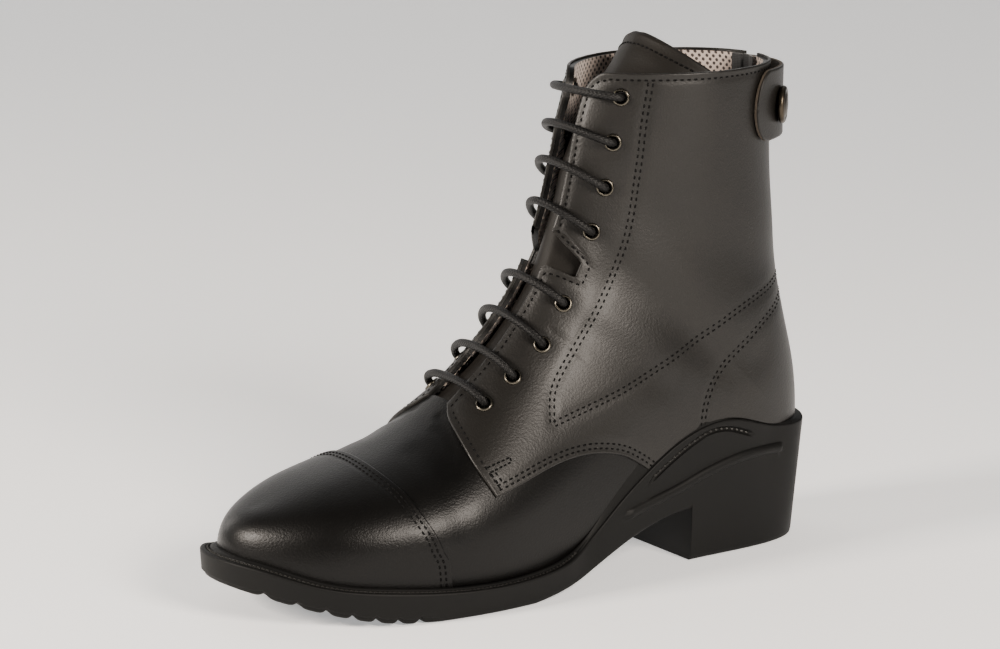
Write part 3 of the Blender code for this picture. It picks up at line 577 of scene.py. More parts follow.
def braided(name, dark, light, pitch_mm, rough, turns=10.0, gloss=0.12):
    """Braided cord: strands cross as diamonds, so the bump is a lattice turned by 45 degrees; the colour
    follows it, lighter on the strand crowns and darker in the grooves, a painted shade.
    """
    mat, shader = new_material(name, IOR=1.48, Specular_IOR_Level=gloss)
    uv = coords(mat, "UV")
    flat = node(mat, "ShaderNodeMapping", {"Vector": uv, "Scale": (1 / pitch_mm, turns, 1)}).outputs[0]
    turned = node(mat, "ShaderNodeMapping", {"Vector": flat, "Rotation": (0, 0, pi / 4)}).outputs[0]
    strand = node(mat, "ShaderNodeTexVoronoi", {"Vector": turned, "Scale": 1.0, "Randomness": 0.1},
                  voronoi_dimensions="2D").outputs["Distance"]
    crown_height_and_shade = node(mat, "ShaderNodeMapRange", {"Value": strand, "From Min": 0.1, "From Max": 0.6,
                                              "To Min": 1.0, "To Max": 0.0}).outputs[0]
    # Lighter crowns and darker grooves between strands are painted shade on the cord's own colour.
    return finish_with(mat, shader, blend(mat, crown_height_and_shade, dark, light), spread(mat, strand, rough, rough + 0.2),
                       crown_height_and_shade, 0.55, 0.0003)


def woven(name, dark, light, pitch_mm, rough):
    """Plain weave: two sets of ribs across each other, on the boot's own coordinates; the colour is lighter
    on the ribs and darker between them, a painted shade that follows the bump.
    """
    mat, shader = new_material(name, Sheen_Weight=0.2, Sheen_Roughness=0.5)
    weave = {"Vector": coords(mat, "Object"), "Scale": 1 / (pitch_mm * MM) / 3.2, "Distortion": 0.6}
    ribs = [node(mat, "ShaderNodeTexWave", weave, bands_direction=axis).outputs["Fac"]
            for axis in ("Z", "Y")]
    cloth = combine(mat, "MULTIPLY", *ribs)
    # Darker gaps between the ribs are painted shade.
    return finish_with(mat, shader, blend(mat, cloth, dark, light),
                       spread(mat, cloth, rough + 0.1, rough - 0.1), cloth, 0.4, 0.0002)


GUNMETAL = plated("nickel_plated_brass", "#3a3731", "#716c62", 0.26)
SNAP_METAL = plated("antique_brass_snap", "#2c2822", "#564e43", 0.34)
# Black thread without gloss reads as a row of dark dashes; only the welt thread glints, and its grey-brown
# colour is a painted highlight on black thread.
LACE_CORD = braided("waxed_cotton_lace", "#030303", "#0d0c0c", 1.2, 0.42, gloss=0.26)
THREAD = braided("bonded_nylon_thread", "#010101", "#060606", 0.5, 0.5, turns=2.0)
WELT_THREAD = braided("waxed_welt_thread", "#0c0c0b", "#2b2926", 0.6, 0.35, turns=2.0, gloss=0.5)
LINING_THREAD = braided("cotton_lining_thread", "#8d8076", "#cfc2b6", 0.5, 0.7, turns=2.0)
ZIP_TAPE = woven("woven_polyester_tape", "#0d0e10", "#1e2024", 0.7, 0.75)
STAY_TAPE = woven("woven_navy_stay", "#0a0f1e", "#141c34", 0.8, 0.7)
FOOTBED = woven("woven_footbed", "#6e625a", "#9c8e84", 1.1, 0.9)
COIL_NYLON = rubber("moulded_nylon_coil", "#101011", "#1c1c1e", 0.36)
print("materials:", len(bpy.data.materials))

# %% [markdown]
# ## Camera, light and floor
# The camera stands where the photograph was taken from: about 1.4 m away, a little above the boot
# and towards its outer side, with a long lens. A black boot shows its shape by what it mirrors,
# so the lights are soft boxes, placed for the highlights on toe, vamp and shaft. The paper glows a
# little, which keeps the background pale while the boot stays black.

# %% Camera at the photograph's angle
EYE = Vector((0.7460, 1.1298, 0.4025))
AIM = Vector((-0.0020, -0.0148, 0.1003))
camera_data = bpy.data.cameras.new("camera")
camera_data.lens, camera_data.sensor_width = 121.97, 36.0
camera = into_scene("camera", camera_data)
camera.location = EYE
camera.rotation_euler = (AIM - EYE).to_track_quat("-Z", "Y").to_euler()
bpy.context.scene.camera = camera
print("camera distance: %.2f m" % (EYE - AIM).length)

# %% Soft studio light
TO_EYE = (EYE - AIM).normalized()
RIGHT = Vector((0, 0, 1)).cross(TO_EYE).normalized()
UP = TO_EYE.cross(RIGHT)


def softbox(name, right, up, near, distance, size, power, colour="#ffffff"):
    """Area light placed in the camera's own directions round the boot, and turned to it."""
    light = bpy.data.lights.new(name, "AREA")
    light.shape, light.size, light.size_y = "RECTANGLE", size[0], size[1]
    light.energy, light.color = power, linear(colour)[:3]
    lamp = into_scene(name, light)
    toward = (RIGHT * right + UP * up + TO_EYE * near).normalized()
    lamp.location = AIM + toward * distance
    lamp.rotation_euler = toward.to_track_quat("Z", "Y").to_euler()


softbox("key_right", 0.52, 0.30, 0.78, 1.5, (0.60, 0.42), 34, "#fff4e8")
softbox("toe_left", -0.80, 0.30, 0.48, 1.4, (0.34, 0.30), 30, "#fff4e8")
softbox("edge_left", -0.75, 0.42, -0.50, 1.6, (0.4, 0.8), 3, "#fff8f0")
softbox("overhead_back", 0.05, 0.90, -0.45, 2.4, (3.4, 2.6), 10)
world = bpy.data.worlds.new("studio")
world.use_nodes = True
world.node_tree.nodes["Background"].inputs["Color"].default_value = linear("#f4f3f1")
world.node_tree.nodes["Background"].inputs["Strength"].default_value = 0.11
bpy.context.scene.world = world

# %% Pale floor with a curved back
across = np.linspace(-3.5, 3.5, 3)
run = np.linspace(0, 1, 40)
bend = np.clip(run - 0.5, 0, 0.25) * 2 * pi
floor_y = np.where(run < 0.5, 3.0 - 10.4 * run, -2.2 - 0.8 * np.sin(bend))
floor_z = 0.8 * (1 - np.cos(bend)) + np.clip(run - 0.75, 0, 1) * 10
spots = np.stack(np.broadcast_arrays(across[None], floor_y[:, None], floor_z[:, None] - 0.0002), -1)
floor_mesh = bpy.data.meshes.new("floor")
floor_mesh.from_pydata(spots.reshape(-1, 3).tolist(), [], grid_quads(np.arange(120).reshape(40, 3)).tolist())
floor_mesh.polygons.foreach_set("use_smooth", np.ones(len(floor_mesh.polygons), bool))
PAPER = new_material("pale_background_paper", Roughness=0.85, Base_Color=linear("#f8f7f6"),
                     Emission_Color=linear("#ffffff"), Emission_Strength=0.42)[0]
floor_mesh.materials.append(PAPER)
floor = into_scene("floor", floor_mesh)
floor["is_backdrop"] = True
print("camera, four lights and floor made")

# %% [markdown]
# ## Where the sole meets the leather
# The rubber unit is a shallow cup. Its rim is low at the ball, rises in a wave at the waist and
# runs high round the heel. Every panel ends on that rim, so the rim comes first: for each section,
# the place on the last that is as high as the rim.

# %% The rim of the sole
SOLE_COLUMNS = ("x", "low_out", "rim_lateral", "rim_medial", "rim_z")
SOLE_EDGE = {
    "heel_back": (-8, -0.5, 3.6, 3.6, 52.5),
    "heel_turn": (12, 0.0, 4.8, 4.8, 51.5),
    "heel_dip": (24, 0.4, 5.4, 5.4, 52.5),
    "heel_peak": (48, 0.5, 6.2, 6.0, 59.0),
    "breast": (64, 0.8, 6.3, 6.6, 57.8),
    "wave_high": (79, 1.5, 6.4, 7.4, 52.0),
    "wave": (95, 2.2, 6.0, 7.6, 42.0),
    "wave_low": (110, 3.0, 5.2, 6.8, 31.0),
    "waist": (123, 3.6, 4.8, 5.8, 21.0),
    "wave_foot": (137, 4.0, 4.9, 5.2, 14.2),
    "ball_back": (152, 4.2, 5.2, 5.2, 11.6),
    "ball": (190, 4.4, 5.5, 5.5, 11.3),
    "cap": (222, 4.6, 5.8, 5.8, 14.3),
    "toe": (246, 5.0, 6.4, 6.4, 18.8),
    "toe_turn": (260, 6.0, 7.4, 7.4, 24.2),
    "toe_tip": (275, 7.0, 8.4, 8.4, 27.5),
}


def sole_at(x):
    """Every column of the sole's edge at length x."""
    table = np.array(list(SOLE_EDGE.values()), float).T
    return {name: spline(table[0], column, x) for name, column in zip(SOLE_COLUMNS, table)}


def rim_line(v, medial, clear):
    """Section coordinate where the last comes out of the rim: the first crossing, between two samples."""
    fine = np.linspace(0, 0.3, 301)
    p = last_point((1 - fine if medial else fine)[None], np.asarray(v, float)[:, None])
    over = p[..., 2] - sole_at(p[..., 0])["rim_z"] - clear
    k = np.clip(np.argmax(over > 0, axis=1), 1, None)
    rows = np.arange(len(v))
    low, high = over[rows, k - 1], over[rows, k]
    found = fine[k - 1] + (fine[k] - fine[k - 1]) * np.clip(-low / (high - low), 0, 1)
    return np.where(over[:, 0] > 0, 0.0, found)


V_FINE = np.linspace(0, 13.6, 681)
RIM = {side: rim_line(V_FINE, side == "medial", 0.12) for side in ("lateral", "medial")}


def rim_u(v, side="lateral"):
    """Rim coordinate at any position, from the fine table."""
    return np.interp(v, V_FINE, RIM[side])


print("rim at the ball: u = %.3f, at the heel: u = %.3f" % (rim_u(4.0), rim_u(12.0)))

# %% [markdown]
# ## Seams
# The cutting pattern of the upper, in last coordinates: the cap seam, the edges of the quarter and
# the rows of stitches. A seam is a smooth curve through a few places read from the photograph.

# %% Seam lines
QUARTER_LOW = ((.309, 4.40), (.299, 5.57), (.276, 6.51), (.248, 6.99), (.201, 7.27), (.155, 7.41),
               (.09, 7.52))
QUARTER_FRONT = ((.290, 4.74), (.307, 4.68), (.337, 4.57), (.383, 4.50), (.431, 4.57), (.452, 4.66),
                 (.466, 4.80), (.48, 4.98))
CAP_SEAM = ((0.0, 3.91), (.131, 3.84), (.264, 3.63), (.312, 3.43), (.37, 3.25), (.433, 3.10), (.5, 3.08),
            (.6, 3.12), (.7, 3.12), (.85, 3.08), (1.0, 3.02))
SIDE_SEAMS = {
    "shaft": ((86.2, 203), (89.5, 181), (92.4, 155.5), (97.8, 133.7), (113, 108), (128.7, 89.9), (136, 80.4),
              (139.4, 69)),
    "diagonal": ((139.4, 69), (120, 74), (104, 78.7), (88.9, 84.6), (72.9, 91.7), (57.3, 99.5), (43, 106.3),
                 (24.4, 112)),
    "counter": ((64.3, 54.5), (63.6, 63.5), (61.7, 70.6), (59.5, 74.8), (55.2, 79.9), (48.4, 86), (40, 92.1),
                (31.8, 97.9), (22.1, 102.7)),
}
BACK_ENDS = {"diagonal": (.045, 15.42), "counter": (.045, 15.18)}
TACKS = (((172.5, 56), (161.7, 59.1), (161.8, 57.4), (171.8, 54.4), (169.9, 49.9)),
         ((169.9, 54.9), (167.9, 50.6)))


def along(points, count, weights=(240.0, 16.0)):
    """Smooth curve through seam points, spaced by their rough length in millimetres."""
    p = np.array(points, float)
    t = run_of(p * weights)
    fine = np.linspace(0, t[-1], count)
    return spline(t, p[:, 0], fine), spline(t, p[:, 1], fine)


LOW_U, LOW_V = along(QUARTER_LOW, 300)


def quarter_low(v, side):
    """Lower edge of the quarter: its own curve over the vamp, then the rim of the sole, then the zip."""
    edge = np.where(v < 7.5, np.interp(v, LOW_V, LOW_U), 0)
    return np.maximum(np.maximum(edge, rim_u(v, side)), ZIP_U)


def on_last(x, z):
    """Last coordinates of side-view points: nearest place of a coarse net, then Newton steps on x and z."""
    net_u, net_v = np.meshgrid(np.linspace(0.08, 0.46, 60), np.linspace(4, 19, 160))
    net = last_point(net_u, net_v)[..., ::2]
    far = (net[..., 0].ravel()[:, None] - x) ** 2 + (net[..., 1].ravel()[:, None] - z) ** 2
    u, v = net_u.ravel()[far.argmin(0)], net_v.ravel()[far.argmin(0)]
    for _ in range(12):
        here = last_point(u, v)[:, ::2]
        by_u = (last_point(u + 1e-4, v)[:, ::2] - here) / 1e-4
        by_v = (last_point(u, v + 1e-4)[:, ::2] - here) / 1e-4
        miss = np.stack([x, z], -1) - here
        whole = by_u[:, 0] * by_v[:, 1] - by_u[:, 1] * by_v[:, 0]
        u = u + 0.8 * (miss[:, 0] * by_v[:, 1] - miss[:, 1] * by_v[:, 0]) / whole
        v = v + 0.8 * (by_u[:, 0] * miss[:, 1] - by_u[:, 1] * miss[:, 0]) / whole
    return u, v


def seam_on_last(name):
    """Seam from the side view laid on the last, with its end carried on to the zip where it has one."""
    u, v = on_last(*along(SIDE_SEAMS[name], 400, (1, 1)))
    if name in BACK_ENDS:
        t = np.linspace(0, 1, 40)[1:]
        end_u, end_v = BACK_ENDS[name]
        u = np.r_[u, u[-1] + (end_u - u[-1]) * t]
        v = np.r_[v, v[-1] + (end_v - v[-1]) * t * (2 - t)]
    return u, v


def facing_u(v, inset=0.0):
    """Front edge of the quarter, flared at its foot and with a round notch, or a line inset from it."""
    half = (NOTCH_V[1] - NOTCH_V[0]) / 2 + inset / 13
    t = np.clip(np.abs(v - sum(NOTCH_V) / 2) / half, 0, 1)
    flare = FLARE_U * (1 - ease(v, 5.0, 6.6))
    return THROAT_U + flare - inset / 240 - (THROAT_U - NOTCH_U) * ease(1 - t, 0, 0.62)


def collar_v(u):
    """Top edge of the shaft: level, with a round corner at the throat."""
    d = np.clip((THROAT_U - np.minimum(u, 1 - u)) * COLLAR_U_MM, 0, None)
    return COLLAR_V - rolled(d, COLLAR_CORNER) / COLLAR_V_MM


def eyelet_clear(points, radius):
    """True where a point is outside every eyelet hole."""
    u, v = np.array(EYELETS).T
    centres = last_point(np.r_[u, 1 - u], np.r_[v, v])
    return nearest(points, centres) > radius


seam_paths = {name: seam_on_last(name) for name in SIDE_SEAMS}
print("seams:", {name: len(path[0]) for name, path in seam_paths.items()})

# %% [markdown]
# ## The upper
# Vamp, shaft and lining are one shell here, as in the part: leather outside and knit inside, open at
# the collar, down the throat, at the zip and underneath. Its outer side shows on the vamp,
# its inner side in the collar, so it carries two materials.

# %% Upper shell
UPPER_OUT, UPPER_IN, UPPER_HOLE = -0.8, -2.7, 2.7
PANEL_OUT, PANEL_IN, PANEL_HOLE = 0.6, -0.72, 2.75
v_rows = runs((0, 2.6, 22), (2.7, THROAT_V, 52), (4.94, 7.7, 46), (7.78, 8.5, 10), (8.53, 10.1, 54),
              (10.2, 12, 24), (12.1, ZIP_V, 16), (14.3, 19, 52))
edge = np.where(v_rows > THROAT_V, facing_u(v_rows) - 0.0015, THROAT_U)
side_u = held_columns(np.linspace(ZIP_U, THROAT_U, 58), ZIP_U, edge[:, None])
side_u = np.c_[np.zeros(len(v_rows)), side_u]
middle_u = edge[:, None] + (1 - 2 * edge)[:, None] * np.linspace(0, 1, 18)[None, 1:-1]
u_grid = np.c_[side_u, middle_u, 1 - side_u[:, ::-1]]
top = np.maximum(collar_v(u_grid) - 0.06, 17.0)
v_grid = np.where(v_rows[:, None] > 16, 16 + (v_rows[:, None] - 16) * (top - 16) / 3, v_rows[:, None])
ids = np.arange(u_grid.size).reshape(u_grid.shape)
ids[0] = np.minimum(ids[0], ids[0][::-1])
joined = (v_rows >= HEEL_V) & (v_rows <= ZIP_V)
ids[joined, -1] = ids[joined, 0]
v_mid = ((v_rows[:-1] + v_rows[1:]) / 2)[:, None]
cols = np.arange(u_grid.shape[1] - 1)[None]
throat = (v_mid > THROAT_V) & (cols >= 58) & (cols < u_grid.shape[1] - 59)
slot = (v_mid > ZIP_V) & ((cols == 0) | (cols == u_grid.shape[1] - 2))
base = last_point(u_grid, v_grid)
centre = (base[:-1, :-1] + base[1:, 1:]) / 2
keep = ~throat & ~slot & eyelet_clear(centre, UPPER_HOLE)
relief, n = folds(base), last_normal(u_grid, v_grid)
outer = base + (relief + UPPER_OUT)[..., None] * n
inner = base + (relief + UPPER_IN)[..., None] * n
surface_mm = np.stack([arc_lengths(base, 1), base[..., 2]], -1)
upper = wall("upper_leather_and_lining", outer, inner, [TOE_LEATHER, LINING], keep, ids, surface_mm, 1)
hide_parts("upper")

# %% [markdown]
# ## The quarters
# Each quarter is one large piece of leather, from its pointed front over the instep to the zip.
# Its cut edges are rolled, it sinks a little under every row of stitches, and the eyelet holes
# are real holes. Rows run up the boot and columns run from the rim to the throat.


# %% Quarter panels
FRONT_V = 4.6


def edge_row(inset):
    """Row at a distance from the edge: up the facing, round its top corner, then along the collar."""
    corner_v = COLLAR_V - COLLAR_CORNER / COLLAR_V_MM
    radius = COLLAR_CORNER - inset
    up = np.linspace(4.80, corner_v, 1400)
    turn = np.linspace(0, pi / 2, 40)[1:]
    corner_u = facing_u(corner_v, inset) - radius / COLLAR_U_MM * (1 - np.cos(turn))
    back = np.linspace(corner_u[-1], 0.02, 300)[1:]
    rise = (last_point(back, COLLAR_V) - last_point(back, COLLAR_V - 0.5))[:, 2] / 0.5
    return (np.r_[facing_u(up, inset), corner_u, back],
            np.r_[up, corner_v + radius / COLLAR_V_MM * np.sin(turn), COLLAR_V - inset / rise])


def thread_paths(side):
    """Rows of stitches on one quarter: last coordinates and a sideways shift in millimetres."""
    rows = []
    for u, v in seam_paths.values():
        rows += [(u, v, -1.0), (u, v, 1.0)]
    rows.append((*edge_row(2.6), 0.0))
    front_u = np.linspace(.312, .452, 120)
    rows.append((front_u, table_at(QUARTER_FRONT, front_u) + 0.14, 0.0))
    inside = (LOW_V > 4.75) & (LOW_V < 7.46)
    rows += [(LOW_U[inside], LOW_V[inside], inset) for inset in (2.0, 4.0)]
    back = np.linspace(13.4, 18.6, 300)
    rows.append((np.full(300, ZIP_U + 0.020), back, 0.0))
    return [(1 - u, v, -shift) for u, v, shift in rows] if side == "medial" else rows


def quarter_grid(side):
    """Grids of u and v: rows from the front edge to the collar, columns held between their two edges."""
    v_lines = runs((FRONT_V, 6.9, 36), (6.92, 7.56, 42), (7.62, 8.5, 14), (8.53, 10.1, 60),
                   (10.16, 12.5, 36), (12.53, 13.2, 26), (13.28, COLLAR_V, 78))
    height = COLLAR_V - FRONT_V
    r = (v_lines - FRONT_V) / height
    r = np.r_[0, 0.0005, 0.0012, 0.0022, 0.0035, r[1:-1], 0.9965, 0.9978, 0.9988, 0.9995, 1.0][:, None]
    columns = np.linspace(ZIP_U, THROAT_U + FLARE_U, 112)
    v = FRONT_V + height * r + 0 * columns[None]
    (first_u, first_v), (last_u, _) = QUARTER_FRONT[0], QUARTER_FRONT[-1]
    for _ in range(10):
        u = held_columns(columns, quarter_low(v, side), facing_u(v))
        front = np.where(u < first_u, first_v, table_at(QUARTER_FRONT, np.clip(u, first_u, last_u)))
        v = front + (collar_v(u) - front) * r
    return u, v


def make_quarter(side):
    """Rolled leather panel with stitched troughs and eyelet holes."""
    u, v = quarter_grid(side)
    if side == "medial":
        u = 1 - u
    base = last_point(u, v)
    to_edge = edge_distance(base)
    sewn = [evenly(row_path(*row, plain=True)[0], 0.4)[0] for row in thread_paths(side)]
    pucker = -0.26 * bell(nearest(base, np.concatenate(sewn)), 1.4)
    n, relief = last_normal(u, v), folds(base)
    outer = base + (PANEL_OUT + relief + pucker - rolled(to_edge, 0.65))[..., None] * n
    inner = base + (PANEL_IN + relief)[..., None] * n
    keep = eyelet_clear((base[:-1, :-1] + base[1:, 1:]) / 2, PANEL_HOLE)
    obj = wall("quarter_%s_leather" % side, outer, inner, [SHAFT_LEATHER], keep)
    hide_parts("quarter_" + side)


make_quarter("lateral")
make_quarter("medial")

# %% [markdown]
# ## The toe cap
# The cap is lasted tight over the toe, so it is the smoothest and glossiest leather of the boot.
# Its grid fans out from the tip of the toe to the seam, and its back edge is rolled like a hem.

# %% Toe cap
CAP_ROWS = (2.6, 4.8)
r = np.r_[0, np.linspace(0.006, 0.985, 74), 0.9885, 0.992, 0.9945, 0.9965, 0.9985, 1.0][:, None]
s = np.linspace(0, 1, 162)[None]
u_cap = s + 0 * r
for _ in range(6):
    v_cap = r * table_at(CAP_SEAM, np.clip(u_cap, 0, 1))
    low, high = rim_u(v_cap, "lateral"), 1 - rim_u(v_cap, "medial")
    u_cap = low + (high - low) * s
u_cap[0] = (u_cap[0] + 1 - u_cap[0][::-1]) / 2
ids = np.arange(u_cap.size).reshape(u_cap.shape)
ids[0] = np.minimum(ids[0], ids[0][::-1])
base = last_point(u_cap, v_cap)
to_edge = arc_lengths(base, 0)
to_edge = to_edge[-1:] - to_edge
pucker = sum(-0.22 * bell(to_edge - d, 0.9) for d in CAP_ROWS)
n = last_normal(u_cap, v_cap)
outer = base + (PANEL_OUT + pucker - rolled(to_edge, 0.7))[..., None] * n
inner = base + PANEL_IN * n
cap = wall("toe_cap_leather", outer, inner, [TOE_LEATHER], None, ids)
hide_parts("toe_cap")

# %% [markdown]
# ## The tongue
# The tongue is soft leather over thin foam. It lies under the lacing, sinks beside it where the lace
# passes below the facings, and its head leans back in the collar with a stitched edge.


# %% Tongue
TONGUE_V, TONGUE_IN, TONGUE_THICK = 4.55, 3.6, 2.2


def tongue_place(r, s, out):
    """Point of the tongue: r goes up it, s across it from -1 to 1, out is the height over its base."""
    crown = 20 - 1.15 * np.clip((np.abs(s) - 0.1) / 0.9, 0, 1) ** 1.6
    v = TONGUE_V + (crown - TONGUE_V) * r
    width = np.interp(v, (4.5, 7, 12, 19), (.095, .105, .14, .185))
    u = 0.5 - s * width
    lean = 24 * np.clip((v - 13.5) / 6.5, 0, 1) ** 1.8
    sink = (2.0 + 0.6 * ease(np.abs(0.5 - u), 0.034, 0.062)) * ease(v, 4.6, 6.0) * (1 - ease(v, 16.6, 18.6))
    base = last_point(u, v) + (out - TONGUE_IN - sink)[..., None] * last_normal(u, v)
    return base - np.stack([lean, 0 * lean, 0 * lean], -1)


r, s = np.meshgrid(np.r_[0, 0.002, 0.005, np.linspace(0.01, 0.99, 130), 0.994, 0.997, 1.0],
                   np.r_[-1, -0.99, -0.975, np.linspace(-0.95, 0.95, 60), 0.975, 0.99, 1], indexing="ij")
to_edge = arc_edge(tongue_place(r, s, np.zeros(r.shape)))
pad = 0.5 * ease(to_edge, 3.8, 9.0) - 0.25 * bell(to_edge - 3.6, 0.9)
tongue = wall("tongue_leather", tongue_place(r, s, pad - rolled(to_edge, 1.0)),
              tongue_place(r, s, rolled(to_edge, 0.8) - TONGUE_THICK), [TONGUE_LEATHER])
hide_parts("tongue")

# %% [markdown]
# ## The sole unit
# Sole, heel and rim are one piece of moulded rubber. Its outline is the edge of the last, moved out.
# At each place of that outline a profile goes from the tread up the side, over the rim and down
# into the cup. The tread itself is a strip from side to side with slots between its lugs.

# %% Underside of the sole
ARCH = ((67, 23.0), (78, 22.0), (90, 19.2), (103, 15.0), (115, 10.4), (128, 5.6), (140, 2.4), (158, -0.3))
TOE_SPRING = ((203, -0.3), (216, 0.6), (230, 3.0), (245, 7.2), (260, 12.6), (275, 18.6), (290, 25.0))
BREAST_X, NOTCH_X, LUG_PITCH, LUG_COUNT, LUG_DEPTH = 67.9, 207.8, 8.4, 7, 2.2


def underside(x):
    """Height of the tread line: flat heel, upright breast, arch, flat ball and toe spring."""
    arch = np.maximum(table_at(ARCH, np.clip(x, 67, 158)), 0)
    toe = np.maximum(table_at(TOE_SPRING, np.clip(x, 203, 290)), 0)
    z = np.where(x < 158, arch, np.where(x > 203, toe, 0))
    return z * ease(x, BREAST_X - 0.2, BREAST_X + 0.2)


def lug_notches(x):
    """Depth of the notches between the lugs under the toe: deep at each pitch, round towards the lugs."""
    place = (x - NOTCH_X) / LUG_PITCH
    inside = (place > -0.5) & (place < LUG_COUNT - 0.5)
    return LUG_DEPTH * inside * (1 - 2 * np.abs(place - np.round(place))) ** 4


def round_trip(out, back):
    """One closed loop from two columns: out from toe to heel, then back without the shared ends."""
    return np.r_[out, back[1:-1][::-1]]


v_sole = np.unique(runs((0, 1, 46), (1, 3.75, 118), (3.75, 7.7, 72), (7.72, 7.86, 12), (7.9, 10, 46),
                        (10, 12, 56)))
c = sections_at(v_sole)
ring_x = round_trip(c["foot_x"], c["foot_x"])
ring = np.c_[ring_x, round_trip(c["foot_lateral"], c["foot_medial"])]
ring_v, ring_foot = round_trip(v_sole, v_sole), round_trip(c["foot_z"], c["foot_z"])
is_outer = np.arange(len(ring)) < len(v_sole)
tangent = np.roll(ring, -1, 0) - np.roll(ring, 1, 0)
away = unit(np.c_[tangent[:, 1], -tangent[:, 0]])
edge_of = sole_at(ring_x)
rim_out = np.where(is_outer, edge_of["rim_lateral"], edge_of["rim_medial"])
rim_z, low_out = edge_of["rim_z"], edge_of["low_out"]
rim_place = np.where(is_outer, rim_u(ring_v, "lateral"), 1 - rim_u(ring_v, "medial"))
meet = last_point(rim_place, ring_v) - 0.5 * last_normal(rim_place, ring_v)
meet_out = ((meet[:, :2] - ring) * away).sum(1)
thin = ease(ring_x, 8, 30) * (1 - ease(ring_x, 120, 140))
rim_out = rim_out - thin * np.maximum(rim_out - meet_out - 1.9, 0)
tread, notch = underside(ring_x), lug_notches(ring_x)
print("sole outline points:", len(ring), "rim height from %.1f to %.1f mm" % (rim_z.min(), rim_z.max()))

# %% Groove and rib on the side of the sole
RIB = ((-10, 42), (21.5, 42), (39.5, 42.1), (55, 39.5), (65, 36.8), (75, 33.5), (89, 30), (103, 26.8),
       (125, 21))
GROOVE = ((-10, 49), (28, 49.8), (39, 51.4), (46, 53.9), (54, 55.6), (61, 55.2), (68.5, 52.5), (76.6, 48.4),
          (83.7, 44.2), (91, 39.5), (112, 26))
RIB_ENDS, GROOVE_ENDS = (21.5, 103.0), (39.0, 91.0)
tall = rim_z - tread
scale = np.clip(tall / 26, 0.3, 1)
forward = ease(ring_x, 94, 116)
groove_z = table_at(GROOVE, np.clip(ring_x, -10, 112)) * (1 - forward) + (tread + 0.75 * tall) * forward
groove_z = np.minimum(groove_z, rim_z - 1.2 - 1.8 * scale)
forward = ease(ring_x, 104, 124)
rib_z = table_at(RIB, np.clip(ring_x, -10, 125)) * (1 - forward) + (tread + 0.45 * tall) * forward
rib_z = np.clip(rib_z, tread + 3.4 + 2.4 * scale, groove_z - 4.4 * scale)


def bar(z, line, ends, width):
    """Bar with round back and ends along a line of heights: 1 on the line, 0 outside its half width."""
    along_x = np.gradient(ring_x)
    slope = np.gradient(line) / np.where(np.abs(along_x) < 0.05, 0.05, along_x)
    beyond = np.maximum(np.maximum(ends[0] - ring_x, ring_x - ends[1]), 0)
    d = np.hypot(beyond, (z - line) / np.sqrt(1 + np.clip(slope, -1, 1) ** 2))
    return np.maximum(1 - (d / width) ** 2, 0) ** 0.7


def side_out(z):
    """How far the side stands out at height z: straight from low edge to rim, with groove and rib."""
    share = np.clip(z / rim_z, 0, 1)
    relief = 1.5 * bar(z, rib_z, RIB_ENDS, 2.3) - 1.3 * bar(z, groove_z, GROOVE_ENDS, 1.2)
    return low_out * (1 - share) + rim_out * share + relief


levels = []


def add_level(z, out):
    """One closed loop of the sole at height z, moved out from the edge of the last."""
    levels.append(np.c_[ring + away * out[:, None], z])


# %% Levels of the sole, tread to rim
TREAD_ROUND, RIM_ROUND = 1.3, 0.9
set_in = 1.1 * ease(ring_x, 199, 208)
for angle in np.linspace(0, pi / 2, 5):
    add_level(tread + notch + TREAD_ROUND * (1 - np.cos(angle)),
              side_out(tread) - set_in - TREAD_ROUND * (1 - np.sin(angle)))
step = tread + 2.2 + 0.65 * notch
add_level(step - 0.1, side_out(step) - set_in)
add_level(step + 0.1, side_out(step) - 0.15 * set_in)
side_low = step + 0.4
marks = [side_low, rib_z - 2.4 * scale, rib_z + 2.4 * scale, groove_z - 1.7 * scale,
         groove_z + 1.7 * scale, rim_z - RIM_ROUND]
for low, high, count in zip(marks[:-1], marks[1:], (12, 15, 8, 14, 5)):
    for f in np.arange(count) / count:
        add_level(low + (high - low) * f, side_out(low + (high - low) * f))
for angle in np.linspace(0, pi / 2, 5):
    add_level(rim_z - RIM_ROUND + RIM_ROUND * np.sin(angle),
              side_out(rim_z - RIM_ROUND) - RIM_ROUND * (1 - np.cos(angle)))

# %% Ledge, bead and cup of the sole
outer_edge = levels[-1]
forefoot = 1 - ease(ring_v, 5.3, 6.3)
LEDGE = np.r_[np.linspace(0.12, 0.5, 9), np.linspace(0.56, 1.0, 10)]
for f in LEDGE:
    trough = -0.8 * (1 - ease(np.abs(f - 0.31), 0.07, 0.16))
    bead = 0.85 * np.sqrt(max(1 - ((f - 0.76) / 0.22) ** 2, 0.0))
    rolled_rim = 0.8 * np.sqrt(max(1 - (2 * f - 1) ** 2, 0.0))
    point = outer_edge * (1 - f) + meet * f
    point[:, 2] = rim_z + forefoot * (trough + bead) + (1 - forefoot) * rolled_rim
    levels.append(point)
for down in (1.2, 3.0):
    levels.append(np.c_[meet[:, :2], rim_z - down])
levels.append(np.c_[ring - away * 0.9, ring_foot - 0.3])
welt_line = levels[len(levels) - 3 - len(LEDGE) + 4]
levels = np.array(levels)
print("levels of the sole:", levels.shape)

